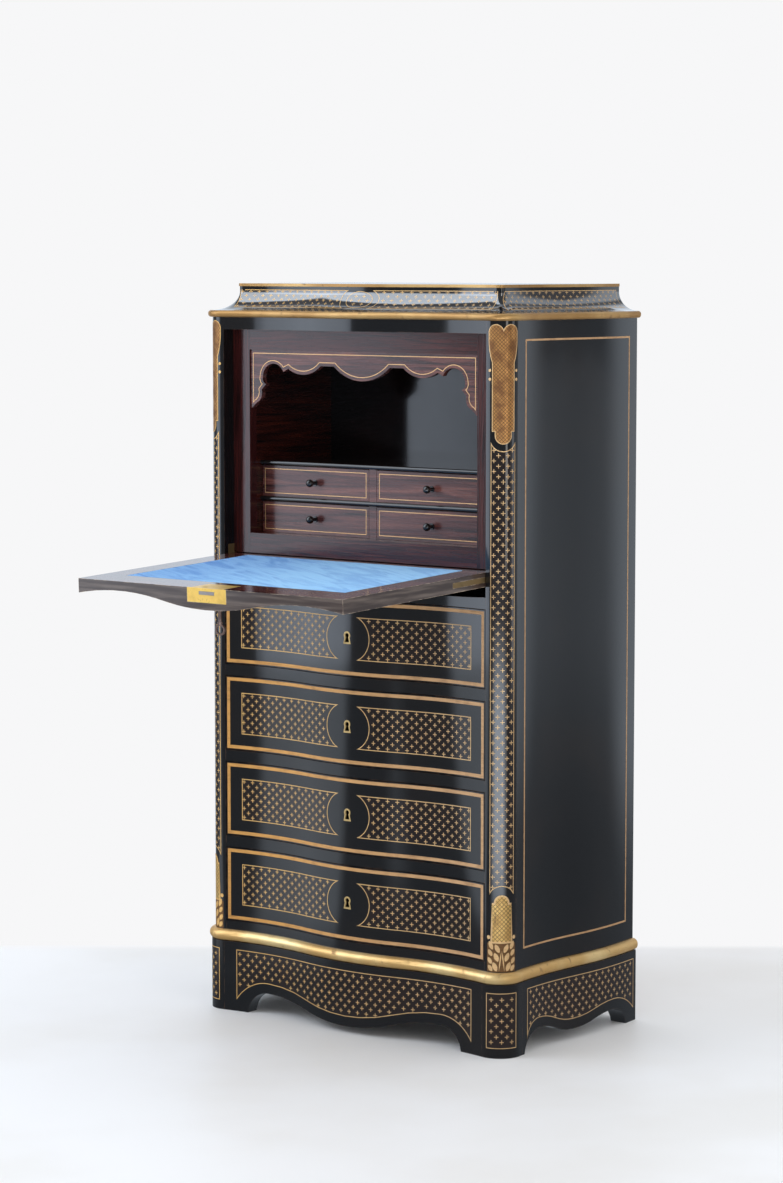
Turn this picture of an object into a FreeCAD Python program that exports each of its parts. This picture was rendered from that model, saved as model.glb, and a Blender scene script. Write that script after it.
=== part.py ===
import FreeCAD, Part
import math
import os

Vec = FreeCAD.Vector
X_AXIS = Vec(1, 0, 0)
Y_AXIS = Vec(0, 1, 0)
Z_AXIS = Vec(0, 0, 1)

# A fall-front secretary with a serpentine front, in millimetres. +Z is up, +X is the sitter's right and the
# front faces -Y. The origin is on the floor under the middle of the carcass.

# Heights, from the floor up
PLINTH_HEIGHT = 126.0
BASE_BEAD_HEIGHT = 20.0
BOTTOM_RAIL_HEIGHT = 16.0
DRAWER_FRONT_HEIGHT = 131.5
DRAWER_GAP = 1.5
RAIL_HEIGHT = 20.0
FALL_OPENING_HEIGHT = 439.5
TOP_RAIL_HEIGHT = 21.5
CORNICE_BEAD_HEIGHT = 12.0
CORNICE_HEIGHT = 33.0
TOP_BOARD_HEIGHT = 14.0
DRAWER_COUNT = 4

# Plan outline of the carcass: arcs that run into each other, with round corner posts
CARCASS_DEPTH = 383.0
FRONT_HOLLOW_X = 196.0
FRONT_HOLLOW_DEPTH = 8.5
FRONT_RADIUS = 480.0
SIDE_HOLLOW_HALF_WIDTH = 325.0
SIDE_HOLLOW_Y = 105.0
SIDE_SWELL_Y = 290.0
SIDE_RADIUS = 713.0
CORNER_RADIUS = 31.5

# Carcass boards
POST_WIDTH = 37.5
POST_BACK_Y = 52.0
POST_REBATE = 21.5
BACK_THICKNESS = 12.0
RAIL_BACK_Y = 60.0

# Plinth
PLINTH_STEP = 7.0
PLINTH_BOARD = 24.0
PLINTH_SIDE_SET_IN = 22.5
PLINTH_CORNER_Y = 45.0
PLINTH_BACK_CLEARANCE = 25.0
FRONT_FOOT_WIDTH = 49.5
FRONT_ARCH_INSET = 94.5
FRONT_ARCH_Z = 40.0
FRONT_DROP_Z = 13.0
SIDE_FOOT_Y = 52.0
SIDE_ARCH_Y = 97.0
SIDE_ARCH_Z = 38.0
SIDE_DROP_Y = 190.0
SIDE_DROP_Z = 19.0
SIDE_REAR_ARCH_INSET = 78.0
SIDE_REAR_ARCH_Z = 34.0
SIDE_REAR_FOOT_DEPTH = 36.0

# Gilt mouldings and cornice
BASE_BEAD_STEP = 11.0
CORNICE_BEAD_STEP = 8.0
BEAD_FLAT = 1.0
COVE_FOOT_STEP = 3.0
COVE_REACH = 41.0
COVE_TOP_CORNER_RADIUS = 10.0
COVE_SECTIONS = 6
CORNICE_WALL = 20.0
TOP_EDGE_HEIGHT = 5.0
TOP_EDGE_DEPTH = 3.0
TOP_EDGE_STEP = 1.0

# Long drawers
DRAWER_BACK_Y = 24.0
DRAWER_BACK_CLEARANCE = 17.0
DRAWER_SIDE_GAP = 5.5
DRAWER_WALL = 10.0
DRAWER_BOTTOM = 6.0
DRAWER_FOOT = 8.0
DRAWER_HEADROOM = 12.0
RUNNER_GAP = 0.3
RUNNER_HEIGHT = 16.0
RUNNER_BEARING = 14.0
RUNNER_GUIDE_RISE = 20.0

# Drawer locks
LOCK_WIDTH = 64.0
LOCK_HEIGHT = 45.0
LOCK_DEPTH = 12.0
LOCK_DROP = 4.0
BOLT_WIDTH = 24.0
BOLT_THICKNESS = 5.4
BOLT_LENGTH = 30.0
BOLT_THROW = 10.0
BOLT_GAP = 0.3
MORTISE_GAP = 1.0
KEYHOLE_RISE = 5.0
KEYHOLE_RADIUS = 4.0
KEYHOLE_WAIST = 1.8
KEYHOLE_FOOT = 5.0
KEYHOLE_DROP = 12.0
ESCUTCHEON_RIM = 3.0
ESCUTCHEON_DEPTH = 2.0
ESCUTCHEON_PROUD = 0.4

# Fall front, hinge and lock
FALL_GAP = 1.5
FALL_INNER_Y = 24.5
WRITING_RISE = 43.0
PIVOT_INSET = 4.0
FALL_DROOP = 2.2
STOP_GAP = 0.3
SWING_RADIUS = 43.0
SWING_GAP = 0.7
PIN_RADIUS = 3.0
PIN_PLAY = 0.05
PIN_END_GAP = 0.3
STRAP_THICKNESS = 3.0
STRAP_LENGTH = 110.0
STRAP_WIDTH = 9.0
STRAP_INSET = 8.0
STRAP_SCREWS = 3
SCREW_HEAD_RADIUS = 2.6
SCREW_SHANK_RADIUS = 1.2
SCREW_LENGTH = 14.0
PIVOT_PLATE_WIDTH = 22.0
PIVOT_PLATE_HEIGHT = 40.0
PIVOT_PLATE_THICKNESS = 3.0
VELVET_SIDE_MARGIN = 48.0
VELVET_HINGE_MARGIN = 53.5
VELVET_FRONT_MARGIN = 66.0
VELVET_RECESS = 1.5
VELVET_PROUD = 0.5
FALL_LOCK_WIDTH = 70.0
FALL_LOCK_HEIGHT = 45.0
FALL_LOCK_DEPTH = 17.0
FALL_PLATE_WIDTH = 84.0
FALL_PLATE_DEPTH = 24.0
FALL_PLATE_THICKNESS = 2.0
FALL_BOLT_WIDTH = 33.0
FALL_BOLT_INSET = 5.5
FALL_BOLT_LENGTH = 20.0
STRIKE_WIDTH = 70.0
STRIKE_DEPTH = 20.0
STRIKE_THICKNESS = 1.0

# Key
KEY_DROP = 32.0
KEY_SHANK_RADIUS = 3.0
KEY_SHANK_REACH = 28.0
KEY_HOLE_PLAY = 0.6
KEY_BORE_RADIUS = 1.6
KEY_BORE_DEPTH = 9.0
KEY_BIT_REACH = 8.0
KEY_BIT_LENGTH = 4.0
KEY_BIT_GAP = 0.8
KEY_BIT_THICKNESS = 2.0
KEY_COLLAR_RADIUS = 4.6
KEY_COLLAR_LENGTH = 5.0
KEY_BOW_WIDTH = 21.0
KEY_BOW_LENGTH = 19.0
KEY_BOW_RING = 3.2
KEY_ROSE_RADIUS = 9.0

# Writing compartment
FRAME_GAP = 1.5
FRAME_THICKNESS = 18.0
FRAME_BOTTOM_DEPTH = 44.0
STILE_WIDTH = 37.5
NICHE_FLOOR_RISE = 80.0
NICHE_HEAD_DROP = 35.5
NICHE_BOARD = 12.0
NICHE_DEPTH = 228.0
SMALL_FACE_SET_BACK = 34.0
SMALL_DRAWER_HEIGHT = 54.4
SMALL_DRAWER_GAP = 0.8
SMALL_DRAWER_CLEARANCE = 0.3
SMALL_DRAWER_WALL = 7.0
SMALL_DRAWER_FRONT = 12.0
SMALL_DRAWER_BOTTOM = 4.0
SMALL_DRAWER_BACK_CLEARANCE = 21.0
SHELF_THICKNESS = 8.0
SHELF_NOSING = 6.0
PARTITION = 16.0
KNOB_BALL_RADIUS = 7.0
KNOB_NECK_RADIUS = 3.4
KNOB_NECK_LENGTH = 6.0
KNOB_ROSE_RADIUS = 5.6
KNOB_ROSE_THICKNESS = 1.6

# Valance: drops are measured below the niche's head, insets in from its sides
VALANCE_THICKNESS = 10.0
VALANCE_SET_BACK = 3.0
VALANCE_LOBE_HALF = 61.0
VALANCE_LOBE_DROP = 50.5
VALANCE_FLAT_DROP = 26.5
VALANCE_FLAT_WIDTH = 30.0
VALANCE_SIDE_LOBE_INSET = 86.0
VALANCE_SIDE_LOBE_DROP = 42.0
VALANCE_CUSP_INSET = 75.0
VALANCE_CUSP_DROP = 38.0
VALANCE_ARCH_INSET = 50.0
VALANCE_ARCH_DROP = 24.0
VALANCE_ARCH_END_INSET = 28.0
VALANCE_ARCH_END_DROP = 46.0
VALANCE_SPUR_INSET = 35.0
VALANCE_SPUR_DROP = 60.5
VALANCE_NOTCH_INSET = 25.0
VALANCE_NOTCH_DROP = 70.0
VALANCE_TAIL_INSET = 14.0
VALANCE_TAIL_DROP = 93.0
VALANCE_TIP_INSET = 4.0
VALANCE_TIP_DROP = 102.0

# Levels and planes that follow from the sizes above
FRONT = -CARCASS_DEPTH / 2
BACK = CARCASS_DEPTH / 2
BASE_Z = PLINTH_HEIGHT + BASE_BEAD_HEIGHT
FIRST_DRAWER_Z = BASE_Z + BOTTOM_RAIL_HEIGHT + DRAWER_GAP
DRAWER_PITCH = DRAWER_FRONT_HEIGHT + 2 * DRAWER_GAP + RAIL_HEIGHT
DESK_Z = FIRST_DRAWER_Z + DRAWER_COUNT * DRAWER_PITCH - DRAWER_GAP
TOP_RAIL_Z = DESK_Z + FALL_OPENING_HEIGHT
CARCASS_TOP_Z = TOP_RAIL_Z + TOP_RAIL_HEIGHT
COVE_Z = CARCASS_TOP_Z + CORNICE_BEAD_HEIGHT
TOP_BOARD_Z = COVE_Z + CORNICE_HEIGHT
TOP_Z = TOP_BOARD_Z + TOP_BOARD_HEIGHT
BACK_INNER = BACK - BACK_THICKNESS
POST_INNER_X = SIDE_HOLLOW_HALF_WIDTH - POST_WIDTH
SIDE_INNER_X = POST_INNER_X + POST_REBATE
PLINTH_SIDE_INNER_X = POST_INNER_X + PLINTH_SIDE_SET_IN
DRAWER_HALF = POST_INNER_X - DRAWER_GAP
DRAWER_BOX_HALF = POST_INNER_X - DRAWER_SIDE_GAP
FALL_HALF = POST_INNER_X - FALL_GAP
FALL_LOW_Z = DESK_Z + FALL_GAP
FALL_HIGH_Z = TOP_RAIL_Z - FALL_GAP
FALL_INNER = FRONT + FALL_INNER_Y
PIVOT = Vec(0, FALL_INNER - PIVOT_INSET, DESK_Z + WRITING_RISE - PIVOT_INSET)
FALL_TURN = 90.0 + FALL_DROOP
FALL_TAIL = PIVOT.z - FALL_LOW_Z
STOP_Z = (PIVOT.z + PIVOT_INSET * math.cos(math.radians(FALL_DROOP))
          + FALL_TAIL * math.sin(math.radians(FALL_DROOP)) + STOP_GAP)
FRAME_FRONT = FALL_INNER + FRAME_GAP
FRAME_BACK = FRAME_FRONT + FRAME_THICKNESS
NICHE_HALF_WIDTH = POST_INNER_X - STILE_WIDTH
NICHE_FLOOR_Z = DESK_Z + NICHE_FLOOR_RISE
NICHE_HEAD_Z = TOP_RAIL_Z - NICHE_HEAD_DROP
SHELF_1_Z = NICHE_FLOOR_Z + SMALL_DRAWER_HEIGHT + 2 * SMALL_DRAWER_GAP
SHELF_2_Z = SHELF_1_Z + SHELF_THICKNESS + SMALL_DRAWER_HEIGHT + 2 * SMALL_DRAWER_GAP
SMALL_FACE = FRAME_FRONT + SMALL_FACE_SET_BACK
KEY_Z = FALL_HIGH_Z - KEY_DROP
FAR = 2 * CARCASS_DEPTH


def box(x0, x1, y0, y1, z0, z1):
    """A box between two corners."""
    return Part.makeBox(x1 - x0, y1 - y0, z1 - z0, Vec(x0, y0, z0))


def rod(radius, start, direction, length):
    """A round bar from start along direction."""
    return Part.makeCylinder(radius, length, start, direction)


def mirrored(shape):
    """The same shape on the other side of the middle plane."""
    return shape.mirror(Vec(0, 0, 0), X_AXIS)


def both_sides(shape):
    """A shape on the right and its mirror image on the left."""
    return [shape, mirrored(shape)]


def one_solid(*shapes):
    """Shapes that touch or overlap, joined into one piece."""
    return shapes[0].fuse(list(shapes[1:])).removeSplitter()


def unit(vector):
    """A vector of length one."""
    return vector / vector.Length


def arc_about(centre, start, end):
    """The shorter arc about a centre from start to end."""
    middle = centre + unit((start - centre) + (end - centre)) * (start - centre).Length
    return Part.Arc(start, middle, end).toShape()


def line(start, end):
    """A straight edge."""
    return Part.LineSegment(start, end).toShape()


def flip(point):
    """A point's mirror image."""
    return Vec(-point.x, point.y, point.z)


def tangent_centre(c1, r1, c2, r2):
    """The centre that lies r1 from c1 and r2 from c2, on the left of the way from c1 to c2."""
    way = c2 - c1
    along = (way.Length ** 2 + r1 ** 2 - r2 ** 2) / (2 * way.Length)
    across = math.sqrt(r1 ** 2 - along ** 2)
    ahead = unit(way)
    return c1 + ahead * along + Vec(-ahead.y, ahead.x, 0) * across


FLANK_CENTRE = Vec(FRONT_HOLLOW_X, FRONT + FRONT_HOLLOW_DEPTH - FRONT_RADIUS, 0)
MIDDLE_CENTRE = Vec(0, FLANK_CENTRE.y + math.sqrt(4 * FRONT_RADIUS ** 2 - FRONT_HOLLOW_X ** 2), 0)
HOLLOW_CENTRE = Vec(SIDE_HOLLOW_HALF_WIDTH + SIDE_RADIUS, FRONT + SIDE_HOLLOW_Y, 0)
SWELL_SHIFT = math.sqrt(4 * SIDE_RADIUS ** 2 - (SIDE_SWELL_Y - SIDE_HOLLOW_Y) ** 2)
SWELL_CENTRE = Vec(HOLLOW_CENTRE.x - SWELL_SHIFT, FRONT + SIDE_SWELL_Y, 0)


def corner_points(step, radius):
    """Where an outline's corner arc leaves the front and meets the side, and its centre."""
    front_r = FRONT_RADIUS - step
    side_r = SIDE_RADIUS - step
    centre = tangent_centre(FLANK_CENTRE, front_r + radius, HOLLOW_CENTRE, side_r + radius)
    leaves = FLANK_CENTRE + unit(centre - FLANK_CENTRE) * front_r
    meets = HOLLOW_CENTRE + unit(centre - HOLLOW_CENTRE) * side_r
    return leaves, meets, centre


def right_run(step, radius):
    """The arcs of an outline's right half, from the middle swell to the back: centre, start and end."""
    leaves, meets, centre = corner_points(step, radius)
    inflection = FLANK_CENTRE + unit(MIDDLE_CENTRE - FLANK_CENTRE) * (FRONT_RADIUS - step)
    turn = HOLLOW_CENTRE + unit(SWELL_CENTRE - HOLLOW_CENTRE) * (SIDE_RADIUS - step)
    swell_r = SIDE_RADIUS + step
    end_x = SWELL_CENTRE.x + math.sqrt(swell_r ** 2 - (BACK - SWELL_CENTRE.y) ** 2)
    return [(FLANK_CENTRE, inflection, leaves), (centre, leaves, meets), (HOLLOW_CENTRE, meets, turn),
            (SWELL_CENTRE, turn, Vec(end_x, BACK, 0))]


def arcs(run):
    """The edges of a run of arcs."""
    return [arc_about(about, start, stop) for about, start, stop in run]


def flipped(run):
    """A run of arcs on the left, followed the other way."""
    return [(flip(about), flip(stop), flip(start)) for about, start, stop in reversed(run)]


def wire_at(edges, z):
    """A closed wire of edges, raised to height z."""
    wire = Part.Wire(edges)
    wire.translate(Vec(0, 0, z))
    return wire


def outline(step, z, corner=None):
    """The carcass outline, moved outwards by step, as a closed wire at height z."""
    run = right_run(step, CORNER_RADIUS + step if corner is None else corner)
    start, end = run[0][1], run[-1][2]
    middle = arc_about(MIDDLE_CENTRE, flip(start), start)
    return wire_at([middle] + arcs(run) + [line(end, flip(end))] + arcs(flipped(run)), z)


def slab(step, z0, z1, corner=None):
    """A board with the carcass outline, moved outwards by step."""
    return Part.Face(outline(step, z0, corner)).extrude(Vec(0, 0, z1 - z0))


def front_strip(half, back_y, z0, z1):
    """A piece of the serpentine front between two upright ends, with a flat back."""
    return slab(0, z0, z1).common(box(-half, half, -FAR, FRONT + back_y, z0, z1))


POST_LINE = corner_points(0, CORNER_RADIUS)[1].y


def rounded_ring(step, z0, z1, flat):
    """A half-round moulding that wraps the front and sides of a board."""
    ring = slab(step, z0, z1).cut(slab(0, z0, z1))
    outer = [edge for z in (z0, z1) for edge in outline(step, z).Edges if edge.Curve.TypeId != "Part::GeomLine"]
    spots = [edge.valueAt((edge.FirstParameter + edge.LastParameter) / 2) for edge in outer]
    picked = []
    for edge in ring.Edges:
        middle = edge.valueAt((edge.FirstParameter + edge.LastParameter) / 2)
        if any((middle - spot).Length < 0.01 for spot in spots):
            picked.append(edge)
    radius = min((z1 - z0 - flat) / 2, step - flat / 2)
    return ring.makeFillet(radius, picked)


def scallop(place, stations, z_low):
    """An apron's cut-out under a run of arches and drops.

    place turns a distance along the apron and a height into a point. stations are the first foot, then
    arch, drop and arch tops, then the last foot, each as a distance and a height.
    """
    def easing(start, end):
        """Two arcs that leave start level and reach end level."""
        (u0, z0), (u1, z1) = start, end
        radius = ((u1 - u0) ** 2 + (z1 - z0) ** 2) / (4 * abs(z1 - z0))
        sag = radius - math.sqrt(radius ** 2 - ((u1 - u0) / 4) ** 2)
        rise = math.copysign(sag, z1 - z0)
        centre = ((u0 + u1) / 2, (z0 + z1) / 2)
        first = Part.Arc(place(u0, z0), place((3 * u0 + u1) / 4, z0 + rise), place(*centre))
        second = Part.Arc(place(*centre), place((u0 + 3 * u1) / 4, z1 - rise), place(u1, z1))
        return [first.toShape(), second.toShape()]

    def foot_arc(foot, arch):
        """The hollow that rises from a foot and is level at the arch."""
        (u0, z0), (u1, z1) = foot, arch
        radius = ((u1 - u0) ** 2 + (z1 - z0) ** 2) / (2 * (z1 - z0))
        half = math.atan2(abs(u1 - u0), radius - (z1 - z0)) / 2
        middle = place(u1 + math.copysign(radius * math.sin(half), u0 - u1), z1 - radius * (1 - math.cos(half)))
        return middle

    foot0, arches, foot1 = stations[0], stations[1:-1], stations[-1]
    edges = [Part.Arc(place(*foot0), foot_arc(foot0, arches[0]), place(*arches[0])).toShape()]
    for start, end in zip(arches, arches[1:]):
        edges += easing(start, end)
    edges.append(Part.Arc(place(*arches[-1]), foot_arc(foot1, arches[-1]), place(*foot1)).toShape())
    edges.append(line(place(*foot1), place(foot1[0], z_low)))
    edges.append(line(place(foot1[0], z_low), place(foot0[0], z_low)))
    edges.append(line(place(foot0[0], z_low), place(*foot0)))
    return Part.Face(Part.Wire(edges))


def keyhole(radius, waist, foot, drop, x, y, z, depth):
    """A keyhole-shaped bar: a round head over a flared foot, from y backwards by depth."""
    head = rod(radius, Vec(x, y, z), Y_AXIS, depth)
    corners = [Vec(x - waist, y, z), Vec(x + waist, y, z), Vec(x + foot, y, z - drop), Vec(x - foot, y, z - drop)]
    flare = Part.Face(Part.makePolygon(corners + corners[:1])).extrude(Vec(0, depth, 0))
    return one_solid(head, flare)


def escutcheon_at(y, z, hole):
    """A brass keyhole lining let into a front at y, and the pocket that it fills."""
    rim = ESCUTCHEON_RIM
    outer = keyhole(KEYHOLE_RADIUS + rim, KEYHOLE_WAIST + rim, KEYHOLE_FOOT + rim, KEYHOLE_DROP + rim,
                    0, y - ESCUTCHEON_PROUD, z, ESCUTCHEON_PROUD + ESCUTCHEON_DEPTH)
    return outer.cut(hole), outer


def carcass_boards():
    """Sides, posts, back, bottom and the rails between the drawers."""
    whole = slab(0, BASE_Z, CARCASS_TOP_Z)
    post = whole.common(box(POST_INNER_X, FAR, -FAR, FRONT + POST_BACK_Y, BASE_Z, CARCASS_TOP_Z))
    post = post.cut(box(SIDE_INNER_X, FAR, POST_LINE, FAR, BASE_Z, CARCASS_TOP_Z))
    plate = pivot_plate_blank()
    pin_end = rod(PIN_RADIUS + PIN_PLAY, Vec(POST_INNER_X, PIVOT.y, PIVOT.z), X_AXIS, PIVOT_PLATE_THICKNESS)
    post = post.cut(plate)
    side = whole.common(box(SIDE_INNER_X, FAR, POST_LINE, BACK, BASE_Z, CARCASS_TOP_Z))
    back = box(-SIDE_INNER_X, SIDE_INNER_X, BACK_INNER, BACK, BASE_Z, CARCASS_TOP_Z)
    rails = [front_strip(POST_INNER_X, RAIL_BACK_Y, BASE_Z, BASE_Z + BOTTOM_RAIL_HEIGHT)]
    for index in range(1, DRAWER_COUNT):
        z = FIRST_DRAWER_Z + index * DRAWER_PITCH - DRAWER_GAP - RAIL_HEIGHT
        rail = front_strip(POST_INNER_X, RAIL_BACK_Y, z, z + RAIL_HEIGHT)
        rails.append(rail.cut(bolt_mortise(z)))
    floor = slab(0, DESK_Z - RAIL_HEIGHT, DESK_Z)
    floor = floor.common(box(-SIDE_INNER_X, SIDE_INNER_X, -FAR, BACK_INNER, DESK_Z - RAIL_HEIGHT, DESK_Z))
    for corner in both_sides(box(POST_INNER_X, FAR, -FAR, FRONT + POST_BACK_Y, BASE_Z, DESK_Z)):
        floor = floor.cut(corner)
    floor = floor.cut(bolt_mortise(DESK_Z - RAIL_HEIGHT))
    swing = rod(SWING_RADIUS + SWING_GAP, Vec(-FAR, PIVOT.y, PIVOT.z), X_AXIS, 2 * FAR)
    floor = floor.cut(swing)
    head = front_strip(POST_INNER_X, RAIL_BACK_Y, TOP_RAIL_Z, CARCASS_TOP_Z)
    strike, pocket, mortise = strike_plate()
    head = head.cut(pocket).cut(mortise)
    return {
        "corner_post_right": [post],
        "corner_post_left": [mirrored(post)],
        "side_panel_right": [side],
        "side_panel_left": [mirrored(side)],
        "back_panel": [back],
        "bottom_board": [slab(0, PLINTH_HEIGHT, BASE_Z)],
        "drawer_rails": rails,
        "desk_floor": [floor],
        "fall_top_rail": [head],
        "strike_plate": [strike],
        "pivot_plates": both_sides(plate.cut(pin_end)),
        "drawer_runners": drawer_runners(),
    }


def pivot_plate_blank():
    """The brass plate let into the right post round the fall's pivot."""
    return box(POST_INNER_X, POST_INNER_X + PIVOT_PLATE_THICKNESS, PIVOT.y - PIVOT_PLATE_WIDTH / 2,
               PIVOT.y + PIVOT_PLATE_WIDTH / 2, PIVOT.z - PIVOT_PLATE_HEIGHT / 2, PIVOT.z + PIVOT_PLATE_HEIGHT / 2)


def bolt_y():
    """The front and back of a drawer bolt."""
    middle = FRONT + DRAWER_BACK_Y + LOCK_DEPTH / 2
    return middle - BOLT_THICKNESS / 2, middle + BOLT_THICKNESS / 2


def bolt_mortise(z):
    """The slot in a rail's underside, at z, that a drawer's bolt rises into."""
    front, back = bolt_y()
    half = BOLT_WIDTH / 2 + MORTISE_GAP
    return box(-half, half, front - MORTISE_GAP, back + MORTISE_GAP, z, z + BOLT_THROW)


def strike_plate():
    """The brass plate over the fall bolt's mortise, its pocket in the top rail and the mortise."""
    middle = FALL_INNER - FALL_BOLT_INSET - BOLT_THICKNESS / 2
    pocket = box(-STRIKE_WIDTH / 2, STRIKE_WIDTH / 2, middle - STRIKE_DEPTH / 2, middle + STRIKE_DEPTH / 2,
                 TOP_RAIL_Z, TOP_RAIL_Z + STRIKE_THICKNESS)
    half = FALL_BOLT_WIDTH / 2 + MORTISE_GAP
    depth = BOLT_THICKNESS / 2 + MORTISE_GAP
    mortise = box(-half, half, middle - depth, middle + depth, TOP_RAIL_Z, TOP_RAIL_Z + BOLT_THROW)
    return pocket.cut(mortise), pocket, mortise


def drawer_runners():
    """A runner and guide for each side of each long drawer."""
    runners = []
    inner = DRAWER_BOX_HALF - RUNNER_BEARING
    for index in range(DRAWER_COUNT):
        top = FIRST_DRAWER_Z + index * DRAWER_PITCH + DRAWER_FOOT - RUNNER_GAP
        runner = box(inner, SIDE_INNER_X, FRONT + RAIL_BACK_Y, BACK_INNER, top - RUNNER_HEIGHT, top)
        guide = box(DRAWER_BOX_HALF + RUNNER_GAP, SIDE_INNER_X, FRONT + RAIL_BACK_Y, BACK_INNER, top,
                    top + RUNNER_GUIDE_RISE)
        runners += both_sides(one_solid(runner, guide))
    return runners


def plinth():
    """Scalloped front and sides, round corner blocks, a plain back and the gilt bead on top."""
    whole = slab(PLINTH_STEP, 0, PLINTH_HEIGHT)
    front = whole.common(box(-POST_INNER_X, POST_INNER_X, -FAR, FRONT + PLINTH_BOARD, 0, PLINTH_HEIGHT))
    foot = POST_INNER_X - FRONT_FOOT_WIDTH
    arch = POST_INNER_X - FRONT_ARCH_INSET
    stations = [(-foot, 0), (-arch, FRONT_ARCH_Z), (0, FRONT_DROP_Z), (arch, FRONT_ARCH_Z), (foot, 0)]
    cut = scallop(lambda u, z: Vec(u, -FAR, z), stations, -PLINTH_HEIGHT)
    front = front.cut(cut.extrude(Vec(0, 2 * FAR, 0)))
    corner = whole.common(box(POST_INNER_X, FAR, -FAR, FRONT + PLINTH_CORNER_Y, 0, PLINTH_HEIGHT))
    side = whole.common(box(PLINTH_SIDE_INNER_X, FAR, FRONT + PLINTH_CORNER_Y, BACK, 0, PLINTH_HEIGHT))
    stations = [(SIDE_FOOT_Y, 0), (SIDE_ARCH_Y, SIDE_ARCH_Z), (SIDE_DROP_Y, SIDE_DROP_Z),
                (CARCASS_DEPTH - SIDE_REAR_ARCH_INSET, SIDE_REAR_ARCH_Z), (CARCASS_DEPTH - SIDE_REAR_FOOT_DEPTH, 0)]
    cut = scallop(lambda u, z: Vec(0, FRONT + u, z), stations, -PLINTH_HEIGHT)
    side = side.cut(cut.extrude(Vec(FAR, 0, 0)))
    back = box(-PLINTH_SIDE_INNER_X, PLINTH_SIDE_INNER_X, BACK - PLINTH_BOARD, BACK, PLINTH_BACK_CLEARANCE,
               PLINTH_HEIGHT)
    return {
        "plinth_front": [front],
        "plinth_corners": both_sides(corner),
        "plinth_sides": both_sides(side),
        "plinth_back": [back],
        "plinth_bead": [rounded_ring(BASE_BEAD_STEP, PLINTH_HEIGHT, BASE_Z, BEAD_FLAT)],
    }


def cove_sections():
    """The hollow moulding's outline at a few heights: step, corner radius and height."""
    foot_corner = CORNER_RADIUS + COVE_FOOT_STEP
    for index in range(COVE_SECTIONS):
        turn = math.pi / 2 * index / (COVE_SECTIONS - 1)
        corner = foot_corner + (COVE_TOP_CORNER_RADIUS - foot_corner) * math.sin(turn)
        yield COVE_FOOT_STEP - COVE_REACH * math.sin(turn), corner, COVE_Z + CORNICE_HEIGHT * (1 - math.cos(turn))


def mitre_point(step, corner):
    """Where the mitre meets an outline's corner."""
    centre = corner_points(step, corner)[2]
    return centre + unit(Vec(1, -1, 0)) * corner


def coves():
    """The cornice's hollow moulding, mitred at the corners: the front length, the right one and the back board."""
    top_step = COVE_FOOT_STEP - COVE_REACH
    top_mitre = mitre_point(top_step, COVE_TOP_CORNER_RADIUS)
    inner_y = FRONT + FRONT_HOLLOW_DEPTH - top_step + CORNICE_WALL
    inner = Vec(top_mitre.x + top_mitre.y - inner_y, inner_y, 0)
    front, side = [], []
    for step, corner, z in cove_sections():
        mitre = mitre_point(step, corner)
        run = right_run(step, corner)
        centre, leaves, meets = run[1]
        ahead = [run[0], (centre, leaves, mitre)]
        along = [(centre, mitre, meets)] + run[2:]
        start, end = run[0][1], run[-1][2]
        middle = arc_about(MIDDLE_CENTRE, flip(start), start)
        ends = [line(mitre, inner), line(inner, flip(inner)), line(flip(inner), flip(mitre))]
        front.append(wire_at([middle] + arcs(ahead) + ends + arcs(flipped(ahead)), z))
        rear = Vec(inner.x, BACK, 0)
        ends = [line(end, rear), line(rear, inner), line(inner, mitre)]
        side.append(wire_at(arcs(along) + ends, z))
    rear = box(-inner.x, inner.x, BACK - CORNICE_WALL, BACK, COVE_Z, TOP_BOARD_Z)
    return Part.makeLoft(front, True, False), Part.makeLoft(side, True, False), rear


def cornice():
    """Board, gilt bead, mitred cove mouldings, top board and its gilt edge."""
    front, side, rear = coves()
    top_step = COVE_FOOT_STEP - COVE_REACH
    edge_step = top_step + TOP_EDGE_STEP
    inner_step = edge_step - TOP_EDGE_DEPTH
    corner = COVE_TOP_CORNER_RADIUS
    edge_z = TOP_Z - TOP_EDGE_HEIGHT
    top = one_solid(slab(top_step, TOP_BOARD_Z, edge_z, corner), slab(inner_step, edge_z, TOP_Z, corner))
    edge = slab(edge_step, edge_z, TOP_Z, corner).cut(slab(inner_step, edge_z, TOP_Z, corner))
    return {
        "cornice_board": [slab(0, CARCASS_TOP_Z, COVE_Z)],
        "cornice_bead": [rounded_ring(CORNICE_BEAD_STEP, CARCASS_TOP_Z, COVE_Z, BEAD_FLAT)],
        "cornice_front": [front],
        "cornice_sides": both_sides(side),
        "cornice_back": [rear],
        "top_board": [top],
        "top_gilt_edge": [edge],
    }


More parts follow.
